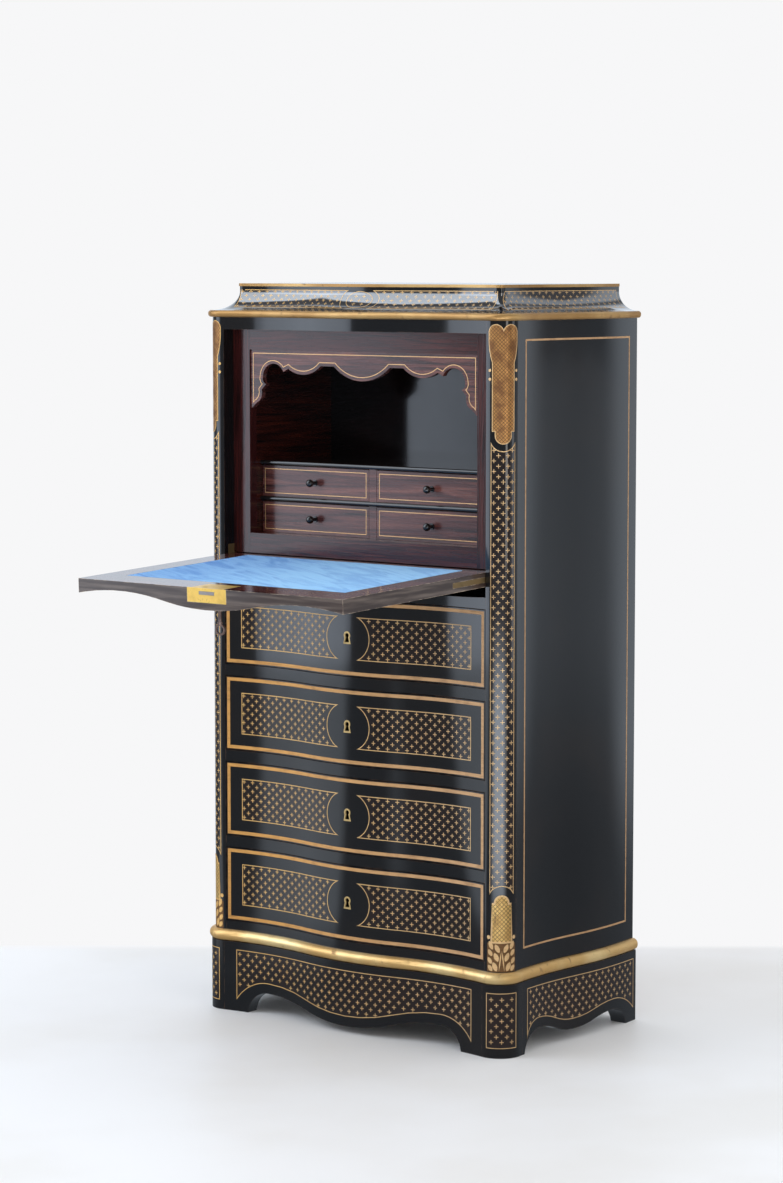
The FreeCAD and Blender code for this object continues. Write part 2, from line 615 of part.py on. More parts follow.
def valance():
    """The shaped board under the niche's head."""
    y = FRAME_FRONT + VALANCE_SET_BACK

    def at(x, drop):
        """A point of the outline."""
        return Vec(x, y, NICHE_HEAD_Z - drop)

    def inset(distance, drop):
        """A point measured in from the niche's right side."""
        return at(NICHE_HALF_WIDTH - distance, drop)

    flat_end = VALANCE_LOBE_HALF + VALANCE_FLAT_WIDTH
    lobe_end = NICHE_HALF_WIDTH - VALANCE_SIDE_LOBE_INSET
    lobe_drop = (VALANCE_FLAT_DROP + VALANCE_CUSP_DROP) / 2
    spur_middle = at(NICHE_HALF_WIDTH - VALANCE_ARCH_END_INSET, (VALANCE_ARCH_END_DROP + VALANCE_SPUR_DROP) / 2)
    runs = [
        (at(VALANCE_LOBE_HALF, VALANCE_FLAT_DROP), at(flat_end, VALANCE_FLAT_DROP)),
        (at(flat_end, VALANCE_FLAT_DROP), at((flat_end + lobe_end) / 2, VALANCE_SIDE_LOBE_DROP),
         at(lobe_end, lobe_drop)),
        (at(lobe_end, lobe_drop), inset(VALANCE_CUSP_INSET, VALANCE_CUSP_DROP)),
        (inset(VALANCE_CUSP_INSET, VALANCE_CUSP_DROP), inset(VALANCE_ARCH_INSET, VALANCE_ARCH_DROP),
         inset(VALANCE_ARCH_END_INSET, VALANCE_ARCH_END_DROP)),
        (inset(VALANCE_ARCH_END_INSET, VALANCE_ARCH_END_DROP), spur_middle,
         inset(VALANCE_SPUR_INSET, VALANCE_SPUR_DROP)),
        (inset(VALANCE_SPUR_INSET, VALANCE_SPUR_DROP), inset(VALANCE_NOTCH_INSET, VALANCE_NOTCH_DROP)),
        (inset(VALANCE_NOTCH_INSET, VALANCE_NOTCH_DROP),
         inset(VALANCE_NOTCH_INSET, (VALANCE_NOTCH_DROP + VALANCE_TAIL_DROP) / 2),
         inset(VALANCE_TAIL_INSET, VALANCE_TAIL_DROP)),
        (inset(VALANCE_TAIL_INSET, VALANCE_TAIL_DROP), inset(VALANCE_TIP_INSET, VALANCE_TIP_DROP)),
        (inset(VALANCE_TIP_INSET, VALANCE_TIP_DROP), inset(0, VALANCE_TIP_DROP)),
        (inset(0, VALANCE_TIP_DROP), inset(0, 0)),
    ]
    lobe = at(VALANCE_LOBE_HALF, VALANCE_FLAT_DROP)
    edges = [Part.Arc(flip(lobe), at(0, VALANCE_LOBE_DROP), lobe).toShape()]
    edges += [edge_through(points) for points in runs]
    edges.append(line(inset(0, 0), flip(inset(0, 0))))
    edges += [edge_through([flip(point) for point in reversed(points)]) for points in reversed(runs)]
    return Part.Face(Part.Wire(edges)).extrude(Vec(0, VALANCE_THICKNESS, 0))


def edge_through(points):
    """A straight edge through two points, or an arc through three."""
    if len(points) == 2:
        return line(*points)
    return Part.Arc(*points).toShape()


def shelf(z):
    """A shelf with a round nose, over a row of small drawers."""
    board = box(-NICHE_HALF_WIDTH, NICHE_HALF_WIDTH, SMALL_FACE - SHELF_NOSING, BACK_INNER, z, z + SHELF_THICKNESS)
    nose = [edge for edge in board.Edges if edge.BoundBox.YMax < SMALL_FACE and edge.BoundBox.XLength > PARTITION]
    return board.makeFillet(SHELF_THICKNESS / 2 - BEAD_FLAT / 4, nose)


def compartment():
    """Face frame, boards with the niche's back, shelves, partitions and valance behind the fall."""
    half = NICHE_HALF_WIDTH
    stile = box(half, POST_INNER_X, FRAME_FRONT, FRAME_BACK, STOP_Z, TOP_RAIL_Z)
    head = box(-half, half, FRAME_FRONT, FRAME_BACK, NICHE_HEAD_Z, TOP_RAIL_Z)
    foot = box(-half, half, FRAME_FRONT, FRAME_FRONT + FRAME_BOTTOM_DEPTH, STOP_Z, NICHE_FLOOR_Z)
    outer = half + NICHE_BOARD
    wall = box(half, outer, FRAME_BACK, BACK_INNER, NICHE_FLOOR_Z, NICHE_HEAD_Z)
    roof = box(-outer, outer, FRAME_BACK, BACK_INNER, NICHE_HEAD_Z, NICHE_HEAD_Z + NICHE_BOARD)
    floor = box(-outer, outer, FRAME_FRONT + FRAME_BOTTOM_DEPTH, BACK_INNER, NICHE_FLOOR_Z - NICHE_BOARD,
                NICHE_FLOOR_Z)
    back = box(-half, half, FRAME_FRONT + NICHE_DEPTH, FRAME_FRONT + NICHE_DEPTH + NICHE_BOARD,
               SHELF_2_Z + SHELF_THICKNESS, NICHE_HEAD_Z)
    partitions = []
    for z0, z1 in ((NICHE_FLOOR_Z, SHELF_1_Z), (SHELF_1_Z + SHELF_THICKNESS, SHELF_2_Z)):
        partitions.append(box(-PARTITION / 2, PARTITION / 2, SMALL_FACE, BACK_INNER, z0, z1))
    return {
        "face_frame": both_sides(stile) + [head, foot],
        "compartment_boards": both_sides(wall) + [roof, floor, back],
        "niche_shelves": [shelf(SHELF_1_Z), shelf(SHELF_2_Z)],
        "drawer_partitions": partitions,
        "valance": [valance()],
    }


def long_drawer(number):
    """A long drawer, counted from the top: front, box, lock and bolt."""
    low = FIRST_DRAWER_Z + (DRAWER_COUNT - number) * DRAWER_PITCH
    high = low + DRAWER_FRONT_HEIGHT
    inner = FRONT + DRAWER_BACK_Y
    front = front_strip(DRAWER_HALF, DRAWER_BACK_Y, low, high)
    face = front.BoundBox.YMin
    key_z = (low + high) / 2 + KEYHOLE_RISE
    hole = keyhole(KEYHOLE_RADIUS, KEYHOLE_WAIST, KEYHOLE_FOOT, KEYHOLE_DROP, 0, face - ESCUTCHEON_PROUD, key_z,
                   inner - face + ESCUTCHEON_PROUD)
    lining, pocket = escutcheon_at(face, key_z, hole)
    front = front.cut(pocket).cut(hole)
    back = BACK_INNER - DRAWER_BACK_CLEARANCE
    box_low = low + DRAWER_FOOT
    box_high = high - DRAWER_HEADROOM
    inside = DRAWER_BOX_HALF - DRAWER_WALL
    side = box(inside, DRAWER_BOX_HALF, inner, back, box_low, box_high)
    rear = box(-inside, inside, back - DRAWER_WALL, back, box_low, box_high)
    bottom = box(-inside, inside, inner, back - DRAWER_WALL, box_low + DRAWER_BOTTOM, box_low + 2 * DRAWER_BOTTOM)
    lock_top = high - LOCK_DROP
    bolt_front, bolt_back = bolt_y()
    case = box(-LOCK_WIDTH / 2, LOCK_WIDTH / 2, inner, inner + LOCK_DEPTH, lock_top - LOCK_HEIGHT, lock_top)
    way = box(-BOLT_WIDTH / 2 - BOLT_GAP, BOLT_WIDTH / 2 + BOLT_GAP, bolt_front - BOLT_GAP, bolt_back + BOLT_GAP,
              lock_top - BOLT_LENGTH - BOLT_GAP, lock_top)
    bolt = box(-BOLT_WIDTH / 2, BOLT_WIDTH / 2, bolt_front, bolt_back, lock_top - BOLT_LENGTH, lock_top)
    return {
        f"drawer_{number}_front": [front],
        f"drawer_{number}_box": both_sides(side) + [rear, bottom],
        f"drawer_{number}_lock": [case.cut(way), lining],
        f"drawer_{number}_bolt": [bolt],
    }


def knob(x, z):
    """A turned knob on a small drawer's face."""
    neck_end = KNOB_ROSE_THICKNESS + KNOB_NECK_LENGTH
    ball = neck_end + KNOB_BALL_RADIUS
    sink = math.sqrt(KNOB_BALL_RADIUS ** 2 - KNOB_NECK_RADIUS ** 2)

    def at(radius, reach):
        """A point of the turned profile."""
        return Vec(x + radius, SMALL_FACE - reach, z)

    edges = [
        line(at(0, 0), at(KNOB_ROSE_RADIUS, 0)),
        line(at(KNOB_ROSE_RADIUS, 0), at(KNOB_ROSE_RADIUS, KNOB_ROSE_THICKNESS)),
        line(at(KNOB_ROSE_RADIUS, KNOB_ROSE_THICKNESS), at(KNOB_NECK_RADIUS, KNOB_ROSE_THICKNESS)),
        line(at(KNOB_NECK_RADIUS, KNOB_ROSE_THICKNESS), at(KNOB_NECK_RADIUS, ball - sink)),
        Part.Arc(at(KNOB_NECK_RADIUS, ball - sink), at(KNOB_BALL_RADIUS, ball), at(0, ball + KNOB_BALL_RADIUS))
        .toShape(),
        line(at(0, ball + KNOB_BALL_RADIUS), at(0, 0)),
    ]
    return Part.Face(Part.Wire(edges)).revolve(Vec(x, 0, z), Y_AXIS, 360)


def small_drawer(number, x0, x1, low):
    """A small drawer between x0 and x1: its box and its knob."""
    high = low + SMALL_DRAWER_HEIGHT
    back = BACK_INNER - SMALL_DRAWER_BACK_CLEARANCE
    wall = SMALL_DRAWER_WALL
    inner = SMALL_FACE + SMALL_DRAWER_FRONT
    solids = [
        box(x0, x1, SMALL_FACE, inner, low, high),
        box(x0, x0 + wall, inner, back, low, high - wall),
        box(x1 - wall, x1, inner, back, low, high - wall),
        box(x0 + wall, x1 - wall, back - wall, back, low, high - wall),
        box(x0 + wall, x1 - wall, inner, back - wall, low, low + SMALL_DRAWER_BOTTOM),
    ]
    return {
        f"small_drawer_{number}": solids,
        f"small_drawer_{number}_knob": [knob((x0 + x1) / 2, (low + high) / 2)],
    }


def small_drawers():
    """Two rows of two small drawers, upper row first."""
    pieces = {}
    outer = NICHE_HALF_WIDTH - SMALL_DRAWER_GAP
    inner = PARTITION / 2 + SMALL_DRAWER_GAP
    rows = (SHELF_1_Z + SHELF_THICKNESS, NICHE_FLOOR_Z)
    for row, z in enumerate(rows):
        low = z + SMALL_DRAWER_CLEARANCE
        pieces.update(small_drawer(2 * row + 1, -outer, -inner, low))
        pieces.update(small_drawer(2 * row + 2, inner, outer, low))
    return pieces


def strap():
    """The right hinge strap with its eye and pivot pin, and the screw places along it."""
    outer = FALL_INNER - STRAP_INSET
    x0 = FALL_HALF - STRAP_THICKNESS
    bar = box(x0, FALL_HALF, outer - STRAP_WIDTH, outer, PIVOT.z - PIVOT_INSET, PIVOT.z + STRAP_LENGTH)
    arm = box(x0, FALL_HALF, outer - STRAP_WIDTH, PIVOT.y, PIVOT.z - PIVOT_INSET, PIVOT.z + PIVOT_INSET)
    eye = rod(PIVOT_INSET, Vec(x0, PIVOT.y, PIVOT.z), X_AXIS, STRAP_THICKNESS)
    blank = one_solid(bar, arm, eye)
    reach = POST_INNER_X + PIVOT_PLATE_THICKNESS - PIN_END_GAP - x0
    pin = rod(PIN_RADIUS, Vec(x0, PIVOT.y, PIVOT.z), X_AXIS, reach)
    spacing = STRAP_LENGTH / (STRAP_SCREWS + 1)
    places = [Vec(0, outer - STRAP_WIDTH / 2, PIVOT.z + spacing * (n + 1)) for n in range(STRAP_SCREWS)]
    return blank, pin, places


def screw(place):
    """A countersunk screw through the right strap, with its slot."""
    head = rod(SCREW_HEAD_RADIUS, Vec(FALL_HALF - STRAP_THICKNESS, place.y, place.z), X_AXIS, STRAP_THICKNESS)
    shank = rod(SCREW_SHANK_RADIUS, Vec(FALL_HALF - SCREW_LENGTH, place.y, place.z), X_AXIS, SCREW_LENGTH)
    return one_solid(head, shank)


def opened(shapes):
    """Pieces of the fall, modelled upright and turned down on the pivot as they stand in use."""
    turned = []
    for shape in shapes:
        copy = shape.copy()
        copy.rotate(PIVOT, X_AXIS, FALL_TURN)
        turned.append(copy)
    return turned


def fall():
    """The writing fall with its velvet, straps, screws and lock, and the bolt and key that move in it."""
    board = front_strip(FALL_HALF, FALL_INNER_Y, FALL_LOW_Z, FALL_HIGH_Z)
    face = board.BoundBox.YMin
    clear = box(-FAR, FAR, -FAR, PIVOT.y, FALL_LOW_Z, PIVOT.z)
    clear = clear.cut(rod(SWING_RADIUS, Vec(-FAR, PIVOT.y, PIVOT.z), X_AXIS, 2 * FAR))
    board = board.cut(clear)

    velvet_half = FALL_HALF - VELVET_SIDE_MARGIN
    velvet_low = FALL_LOW_Z + VELVET_HINGE_MARGIN
    velvet_high = FALL_HIGH_Z - VELVET_FRONT_MARGIN
    velvet = box(-velvet_half, velvet_half, FALL_INNER - VELVET_RECESS, FALL_INNER + VELVET_PROUD, velvet_low,
                 velvet_high)
    board = board.cut(velvet)

    blank, pin, places = strap()
    screws = [screw(place) for place in places]
    hinge = one_solid(blank, pin)
    for side in both_sides(blank):
        board = board.cut(side)
    for piece in screws:
        hinge = hinge.cut(piece)
        board = board.cut(piece).cut(mirrored(piece))

    plate_low = FALL_HIGH_Z - FALL_PLATE_THICKNESS
    plate = box(-FALL_PLATE_WIDTH / 2, FALL_PLATE_WIDTH / 2, FALL_INNER - FALL_PLATE_DEPTH, FALL_INNER, plate_low,
                FALL_HIGH_Z)
    case = box(-FALL_LOCK_WIDTH / 2, FALL_LOCK_WIDTH / 2, FALL_INNER - FALL_LOCK_DEPTH, FALL_INNER,
               plate_low - FALL_LOCK_HEIGHT, plate_low)
    bolt_back = FALL_INNER - FALL_BOLT_INSET
    bolt_front = bolt_back - BOLT_THICKNESS
    half = FALL_BOLT_WIDTH / 2
    way = box(-half - BOLT_GAP, half + BOLT_GAP, bolt_front - BOLT_GAP, bolt_back + BOLT_GAP,
              FALL_HIGH_Z - FALL_BOLT_LENGTH - BOLT_GAP, FALL_HIGH_Z)
    bolt = box(-half, half, bolt_front, bolt_back, FALL_HIGH_Z - FALL_BOLT_LENGTH, FALL_HIGH_Z)

    bit_front = FALL_INNER - FALL_LOCK_DEPTH
    chamber_depth = KEY_BIT_LENGTH + 2 * KEY_BIT_GAP
    chamber = rod(KEY_BIT_REACH + KEY_BIT_GAP, Vec(0, bit_front, KEY_Z), Y_AXIS, chamber_depth)
    post_length = KEY_BORE_DEPTH - KEY_BIT_GAP
    post_root = bit_front + chamber_depth
    post = rod(KEY_BORE_RADIUS - PIN_PLAY, Vec(0, post_root - post_length, KEY_Z), Y_AXIS, post_length)
    body = one_solid(case.cut(chamber), plate).cut(way)
    body = one_solid(body, post)
    rose_depth = ESCUTCHEON_DEPTH + ESCUTCHEON_PROUD
    hole_radius = KEY_SHANK_RADIUS + KEY_HOLE_PLAY
    shank_hole = rod(hole_radius, Vec(0, face - ESCUTCHEON_PROUD, KEY_Z), Y_AXIS, bit_front - face + rose_depth)
    slot = box(-KEY_BIT_THICKNESS / 2 - KEY_BIT_GAP, KEY_BIT_THICKNESS / 2 + KEY_BIT_GAP, face - ESCUTCHEON_PROUD,
               bit_front, KEY_Z - KEY_BIT_REACH - KEY_BIT_GAP, KEY_Z)
    rose = rod(KEY_ROSE_RADIUS + ESCUTCHEON_RIM, Vec(0, face - ESCUTCHEON_PROUD, KEY_Z), Y_AXIS, rose_depth)
    board = board.cut(plate).cut(case).cut(rose).cut(shank_hole).cut(slot)
    rose = rose.cut(shank_hole).cut(slot)

    pieces = {
        "fall_board": [board],
        "fall_velvet": [velvet],
        "fall_straps": both_sides(hinge),
        "fall_strap_screws": screws + [mirrored(piece) for piece in screws],
        "fall_lock": [body, rose],
        "fall_bolt": [bolt],
        "fall_key": [key(bit_front + KEY_BIT_GAP + KEY_BIT_LENGTH, face)],
    }
    return {name: opened(shapes) for name, shapes in pieces.items()}


def oval(centre, width, length):
    """A flat oval disc, as thick as the key's bow."""
    low = Vec(centre.x, centre.y, centre.z - KEY_BOW_RING / 2)
    rim = Part.Ellipse(low, width / 2, length / 2).toShape()
    return Part.Face(Part.Wire([rim])).extrude(Vec(0, 0, KEY_BOW_RING))


def key(tip, face):
    """The key: a bored shank with a bit, a collar and an oval bow."""
    bow_end = face - KEY_SHANK_REACH
    shank = rod(KEY_SHANK_RADIUS, Vec(0, bow_end, KEY_Z), Y_AXIS, tip - bow_end)
    collar = rod(KEY_COLLAR_RADIUS, Vec(0, bow_end, KEY_Z), Y_AXIS, KEY_COLLAR_LENGTH)
    bit = box(-KEY_BIT_THICKNESS / 2, KEY_BIT_THICKNESS / 2, tip - KEY_BIT_LENGTH, tip, KEY_Z - KEY_BIT_REACH, KEY_Z)
    centre = Vec(0, bow_end - KEY_BOW_LENGTH / 2 + KEY_BOW_RING / 2, KEY_Z)
    bow = oval(centre, KEY_BOW_WIDTH, KEY_BOW_LENGTH).cut(
        oval(centre, KEY_BOW_WIDTH - 2 * KEY_BOW_RING, KEY_BOW_LENGTH - 2 * KEY_BOW_RING))
    bore = rod(KEY_BORE_RADIUS, Vec(0, tip - KEY_BORE_DEPTH, KEY_Z), Y_AXIS, KEY_BORE_DEPTH)
    return one_solid(shank, collar, bit, bow).cut(bore)


def build():
    """Every node of the secretary, by name."""
    nodes = {}
    nodes.update(carcass_boards())
    nodes.update(plinth())
    nodes.update(cornice())
    nodes.update(compartment())
    nodes.update(fall())
    for number in range(1, DRAWER_COUNT + 1):
        nodes.update(long_drawer(number))
    nodes.update(small_drawers())
    return nodes


def main():
    """Write each node to its own file."""
    os.makedirs("parts", exist_ok=True)
    for name, solids in build().items():
        shape = solids[0] if len(solids) == 1 else Part.makeCompound(solids)
        if not shape.isValid():
            print("not valid:", name)
        shape.exportStep(os.path.join("parts", name + ".step"))


main()
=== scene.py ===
"""Looks of a black lacquer fall-front secretary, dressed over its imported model.

Lengths are in metres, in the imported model's frame: +Z is up, -Y is the front, the floor is at z = 0.
An inlay starts as a flat drawing, u across and v up, and is then laid on the surface that carries it.
"""

import logging
import math
from collections.abc import Iterable, Sequence
from dataclasses import dataclass, field, replace
from enum import Enum
from typing import ClassVar, NamedTuple, Union

import bmesh
import bpy
from mathutils import Color, Matrix, Vector
from mathutils.bvhtree import BVHTree


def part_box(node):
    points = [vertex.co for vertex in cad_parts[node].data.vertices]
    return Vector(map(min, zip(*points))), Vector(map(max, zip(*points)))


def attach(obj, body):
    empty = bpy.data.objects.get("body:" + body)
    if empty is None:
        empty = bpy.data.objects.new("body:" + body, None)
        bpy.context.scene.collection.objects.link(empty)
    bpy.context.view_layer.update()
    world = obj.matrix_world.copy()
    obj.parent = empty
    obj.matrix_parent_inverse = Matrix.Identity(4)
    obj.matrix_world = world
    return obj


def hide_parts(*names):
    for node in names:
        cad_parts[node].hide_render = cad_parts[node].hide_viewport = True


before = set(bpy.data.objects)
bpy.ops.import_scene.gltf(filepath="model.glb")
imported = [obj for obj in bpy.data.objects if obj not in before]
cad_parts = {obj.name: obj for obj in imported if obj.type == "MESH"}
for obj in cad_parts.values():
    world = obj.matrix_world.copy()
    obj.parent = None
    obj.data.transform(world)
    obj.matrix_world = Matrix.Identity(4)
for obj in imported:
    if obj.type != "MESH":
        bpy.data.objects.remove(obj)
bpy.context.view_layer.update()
LOG = logging.getLogger("secretary")

Tone = tuple[float, float, float, float]
Input = Union[float, Sequence[float], "Value"]


def tone(red: float, green: float, blue: float) -> Tone:
    """A display colour, 0 to 255, as the linear colour that a shader takes."""
    linear = Color((red / 255, green / 255, blue / 255)).from_srgb_to_scene_linear()
    return (*linear, 1.0)


class Value:
    """A socket of a node sheet, with Python's operators written as Math nodes."""

    def __init__(self, sheet: "NodeSheet", socket: bpy.types.NodeSocket) -> None:
        """Wraps a socket of that sheet."""
        self.sheet = sheet
        self.socket = socket

    def maths(self, operation: str, *inputs: Input) -> "Value":
        """A Math node of that operation on these inputs."""
        return self.sheet.add("ShaderNodeMath", {"operation": operation}, dict(enumerate(inputs)))

    def __add__(self, other: Input) -> "Value":
        """The sum."""
        return self.maths("ADD", self, other)

    def __radd__(self, other: Input) -> "Value":
        """The sum, with the number first."""
        return self.maths("ADD", other, self)

    def __sub__(self, other: Input) -> "Value":
        """The difference."""
        return self.maths("SUBTRACT", self, other)

    def __rsub__(self, other: Input) -> "Value":
        """The difference, with the number first."""
        return self.maths("SUBTRACT", other, self)

    def __mul__(self, other: Input) -> "Value":
        """The product."""
        return self.maths("MULTIPLY", self, other)

    def __rmul__(self, other: Input) -> "Value":
        """The product, with the number first."""
        return self.maths("MULTIPLY", other, self)

    def __truediv__(self, other: Input) -> "Value":
        """The quotient."""
        return self.maths("DIVIDE", self, other)

    def __rtruediv__(self, other: Input) -> "Value":
        """The quotient, with the number first."""
        return self.maths("DIVIDE", other, self)

    def __neg__(self) -> "Value":
        """The value with its sign turned."""
        return self.maths("SUBTRACT", 0.0, self)

    def __abs__(self) -> "Value":
        """The size without its sign."""
        return self.maths("ABSOLUTE", self)

    def larger(self, other: Input) -> "Value":
        """The larger of two values."""
        return self.maths("MAXIMUM", self, other)

    def triangle(self, period: float) -> "Value":
        """A wave that climbs from 0 to 1 and falls again once in each period."""
        return self.maths("PINGPONG", self / (period / 2), 1.0)

    def rise(self, low: float, high: float) -> "Value":
        """A smooth step.

        Args:
            low: Where it starts to rise; it may be the larger, for a step down.
            high: Where it is full.

        Returns:
            0 before low, 1 beyond high and smooth between them.
        """
        return self.sheet.add(
            "ShaderNodeMapRange",
            {"interpolation_type": "SMOOTHSTEP"},
            {"Value": self, "From Min": low, "From Max": high},
        )


class NodeSheet:
    """The node tree of one material or world, with a method for any node."""

    def __init__(self, tree: bpy.types.NodeTree) -> None:
        """Takes over a node tree and empties it."""
        self.tree = tree
        tree.nodes.clear()

    def add(
        self,
        kind: str,
        settings: dict[str, object] | None = None,
        inputs: dict[Union[str, int], Input] | None = None,
        output: Union[str, int] = 0,
    ) -> Value:
        """Adds a node.

        Args:
            kind: The node's type.
            settings: Its properties, set first; stops are those of a colour ramp.
            inputs: A number, a colour or a linked value for each socket.
            output: The socket that is returned.

        Returns:
            The chosen output of the node.
        """
        node = self.tree.nodes.new(kind)
        for name, setting in (settings or {}).items():
            if name == "stops":
                self.set_stops(node.color_ramp, setting)
            else:
                setattr(node, name, setting)
        for key, value in (inputs or {}).items():
            if isinstance(value, Value):
                self.tree.links.new(value.socket, node.inputs[key])
            else:
                node.inputs[key].default_value = value
        return Value(self, node.outputs[output] if len(node.outputs) else None)

    @staticmethod
    def set_stops(ramp: bpy.types.ColorRamp, stops: Iterable[tuple[float, Tone]]) -> None:
        """Gives a new colour ramp its stops.

        Args:
            ramp: The ramp.
            stops: The place and colour of each stop, from left to right.
        """
        for index, (position, colour) in enumerate(stops):
            stop = ramp.elements[index] if index < 2 else ramp.elements.new(position)
            stop.position = position
            stop.color = colour

    def place(self) -> Value:
        """The point's place on the object."""
        return self.add("ShaderNodeTexCoord", output="Object")

    def drawn(self) -> Value:
        """The point's place in the flat drawing of an inlay."""
        return self.add("ShaderNodeUVMap", {"uv_map": Drawing.MAP})

    def axis(self, vector: Value, name: str) -> Value:
        """One of a vector's parts, X, Y or Z."""
        return self.add("ShaderNodeSeparateXYZ", None, {0: vector}, name)

    def stretch(self, vector: Value, scale: Sequence[float]) -> Value:
        """A vector with each part multiplied by its own number."""
        return self.add("ShaderNodeVectorMath", {"operation": "MULTIPLY"}, {0: vector, 1: scale})

    def noise(self, vector: Value, scale: float, detail: float = 3.0, twist: float = 0.0) -> Value:
        """Soft noise from 0 to 1.

        Args:
            vector: Where the noise is read.
            scale: How many lumps there are in a metre.
            detail: How many finer layers it has.
            twist: How far the lumps are distorted.

        Returns:
            The noise.
        """
        inputs = {"Vector": vector, "Scale": scale, "Detail": detail, "Distortion": twist}
        return self.add("ShaderNodeTexNoise", None, inputs, "Fac")

    def mix(self, first: Input, second: Input, share: Input) -> Value:
        """A colour between two others."""
        return self.add("ShaderNodeMix", {"data_type": "RGBA"}, {0: share, 6: first, 7: second}, 2)

    def ramp(self, factor: Value, *stops: tuple[float, Tone]) -> Value:
        """The colour of a ramp at a factor."""
        return self.add("ShaderNodeValToRGB", {"stops": stops}, {0: factor})

    def dot(self, first: Input, second: Input) -> Value:
        """The dot product of two vectors."""
        return self.add("ShaderNodeVectorMath", {"operation": "DOT_PRODUCT"}, {0: first, 1: second}, "Value")

    def length(self, vector: Value) -> Value:
        """How long a vector is."""
        return self.add("ShaderNodeVectorMath", {"operation": "LENGTH"}, {0: vector}, "Value")

    def path(self, kind: str) -> Value:
        """1 for light of that kind of path, such as Is Glossy Ray, and 0 for the rest."""
        return self.add("ShaderNodeLightPath", None, None, kind)

    def edge(self, radius: float) -> Value:
        """The worn edges of a piece.

        Args:
            radius: How far an edge reaches, in metres.

        Returns:
            0 on flat faces, rising to 1 along sharp edges.
        """
        rounded = self.add("ShaderNodeBevel", {"samples": 6}, {"Radius": radius})
        flat = self.add("ShaderNodeNewGeometry", None, None, "Normal")
        return (1.0 - self.dot(rounded, flat)).rise(0.01, 0.2)

    def bump(self, height: Value, depth: float) -> Value:
        """The normal of a surface with that relief, depth metres deep."""
        return self.add("ShaderNodeBump", None, {"Height": height, "Strength": 1.0, "Distance": depth})

    def surface(self, **sockets: Input) -> Value:
        """A Principled shader with these sockets, named with _ for spaces."""
        inputs = {name.replace("_", " "): value for name, value in sockets.items()}
        return self.add("ShaderNodeBsdfPrincipled", None, inputs)

    def blend(self, first: Value, second: Value, share: Value) -> Value:
        """A shader between two others."""
        return self.add("ShaderNodeMixShader", None, {0: share, 1: first, 2: second})


@dataclass(frozen=True)
class Finish:
    """What all finishes share: a name, and a material that is made at its first use."""

    name: str

    def material(self) -> bpy.types.Material:
        """Makes the finish's material at its first use.

        Returns:
            The material.
        """
        made = bpy.data.materials.get(self.name)
        if made is None:
            made = bpy.data.materials.new(self.name)
            made.use_nodes = True
            sheet = NodeSheet(made.node_tree)
            sheet.add("ShaderNodeOutputMaterial", None, {"Surface": self.shade(sheet)})
        return made

    def shade(self, sheet: NodeSheet) -> Value:
        """The finish's shader, which each finish draws for itself."""
        raise NotImplementedError


class Grain(Enum):
    """Which way the grain of a wooden piece runs, as lumps per metre along each axis."""

    ACROSS = (4.0, 75.0, 75.0)
    DEEP = (75.0, 4.0, 75.0)
    UPRIGHT = (75.0, 75.0, 4.0)


@dataclass(frozen=True)
class Lacquer(Finish):
    """Old black lacquer: a clear gloss over black that has browned, worn through along the edges."""

    black: Tone = tone(13, 13, 15)
    brown: Tone = tone(28, 21, 17)
    worn: Tone = tone(104, 74, 52)
    wear: float = 0.55
    gloss: float = 0.06
    coat: float = 0.35
    index: float = 1.5
    clouds: tuple[float, float, float] = (5.0, 5.0, 5.0)

    def shade(self, sheet: NodeSheet) -> Value:
        """Shades the finish.

        Args:
            sheet: The material's node sheet.

        Returns:
            The shader.
        """
        place = sheet.place()
        clouds = sheet.noise(sheet.stretch(place, self.clouds), 1.0, 4.0)
        colour = sheet.mix(self.black, self.brown, clouds.rise(0.4, 0.75) * 0.6)
        rubbed = sheet.edge(0.0016) * sheet.noise(place, 70.0, 4.0).rise(0.38, 0.62) * self.wear
        colour = sheet.mix(colour, self.worn, rubbed)
        hairlines = sheet.noise(sheet.stretch(place, (60.0, 60.0, 900.0)), 1.0, 2.0)
        haze = sheet.noise(place, 24.0, 5.0)
        roughness = self.gloss + haze * 0.08 + hairlines.rise(0.6, 0.75) * 0.05 + rubbed * 0.3
        ripple = sheet.noise(place, 13.0, 2.0) + hairlines * 0.02
        return sheet.surface(
            Base_Color=colour,
            Roughness=roughness,
            Normal=sheet.bump(ripple, 0.00014),
            Coat_Weight=self.coat,
            Coat_Roughness=0.06,
            Coat_IOR=self.index,
        )


@dataclass(frozen=True)
class Gilding(Finish):
    """Leaf gold on a bead, thin and brown where hands have rubbed it."""

    gold: Tone = tone(210, 168, 104)
    pale: Tone = tone(236, 208, 150)
    bole: Tone = tone(120, 78, 44)

    def shade(self, sheet: NodeSheet) -> Value:
        """Shades the finish.

        Args:
            sheet: The material's node sheet.

        Returns:
            The shader.
        """
        place = sheet.place()
        leaf = sheet.noise(place, 9.0, 5.0)
        colour = sheet.mix(self.gold, self.pale, leaf.rise(0.4, 0.7))
        thin = sheet.noise(place, 60.0, 6.0, 0.4).rise(0.6, 0.74) * 0.6
        colour = sheet.mix(colour, self.bole, thin)
        specks = sheet.noise(place, 320.0, 3.0)
        return sheet.surface(
            Base_Color=colour,
            Metallic=0.55 - thin * 0.4,
            Roughness=0.34 + thin * 0.3 + specks * 0.12,
            Normal=sheet.bump(specks, 0.0002),
        )


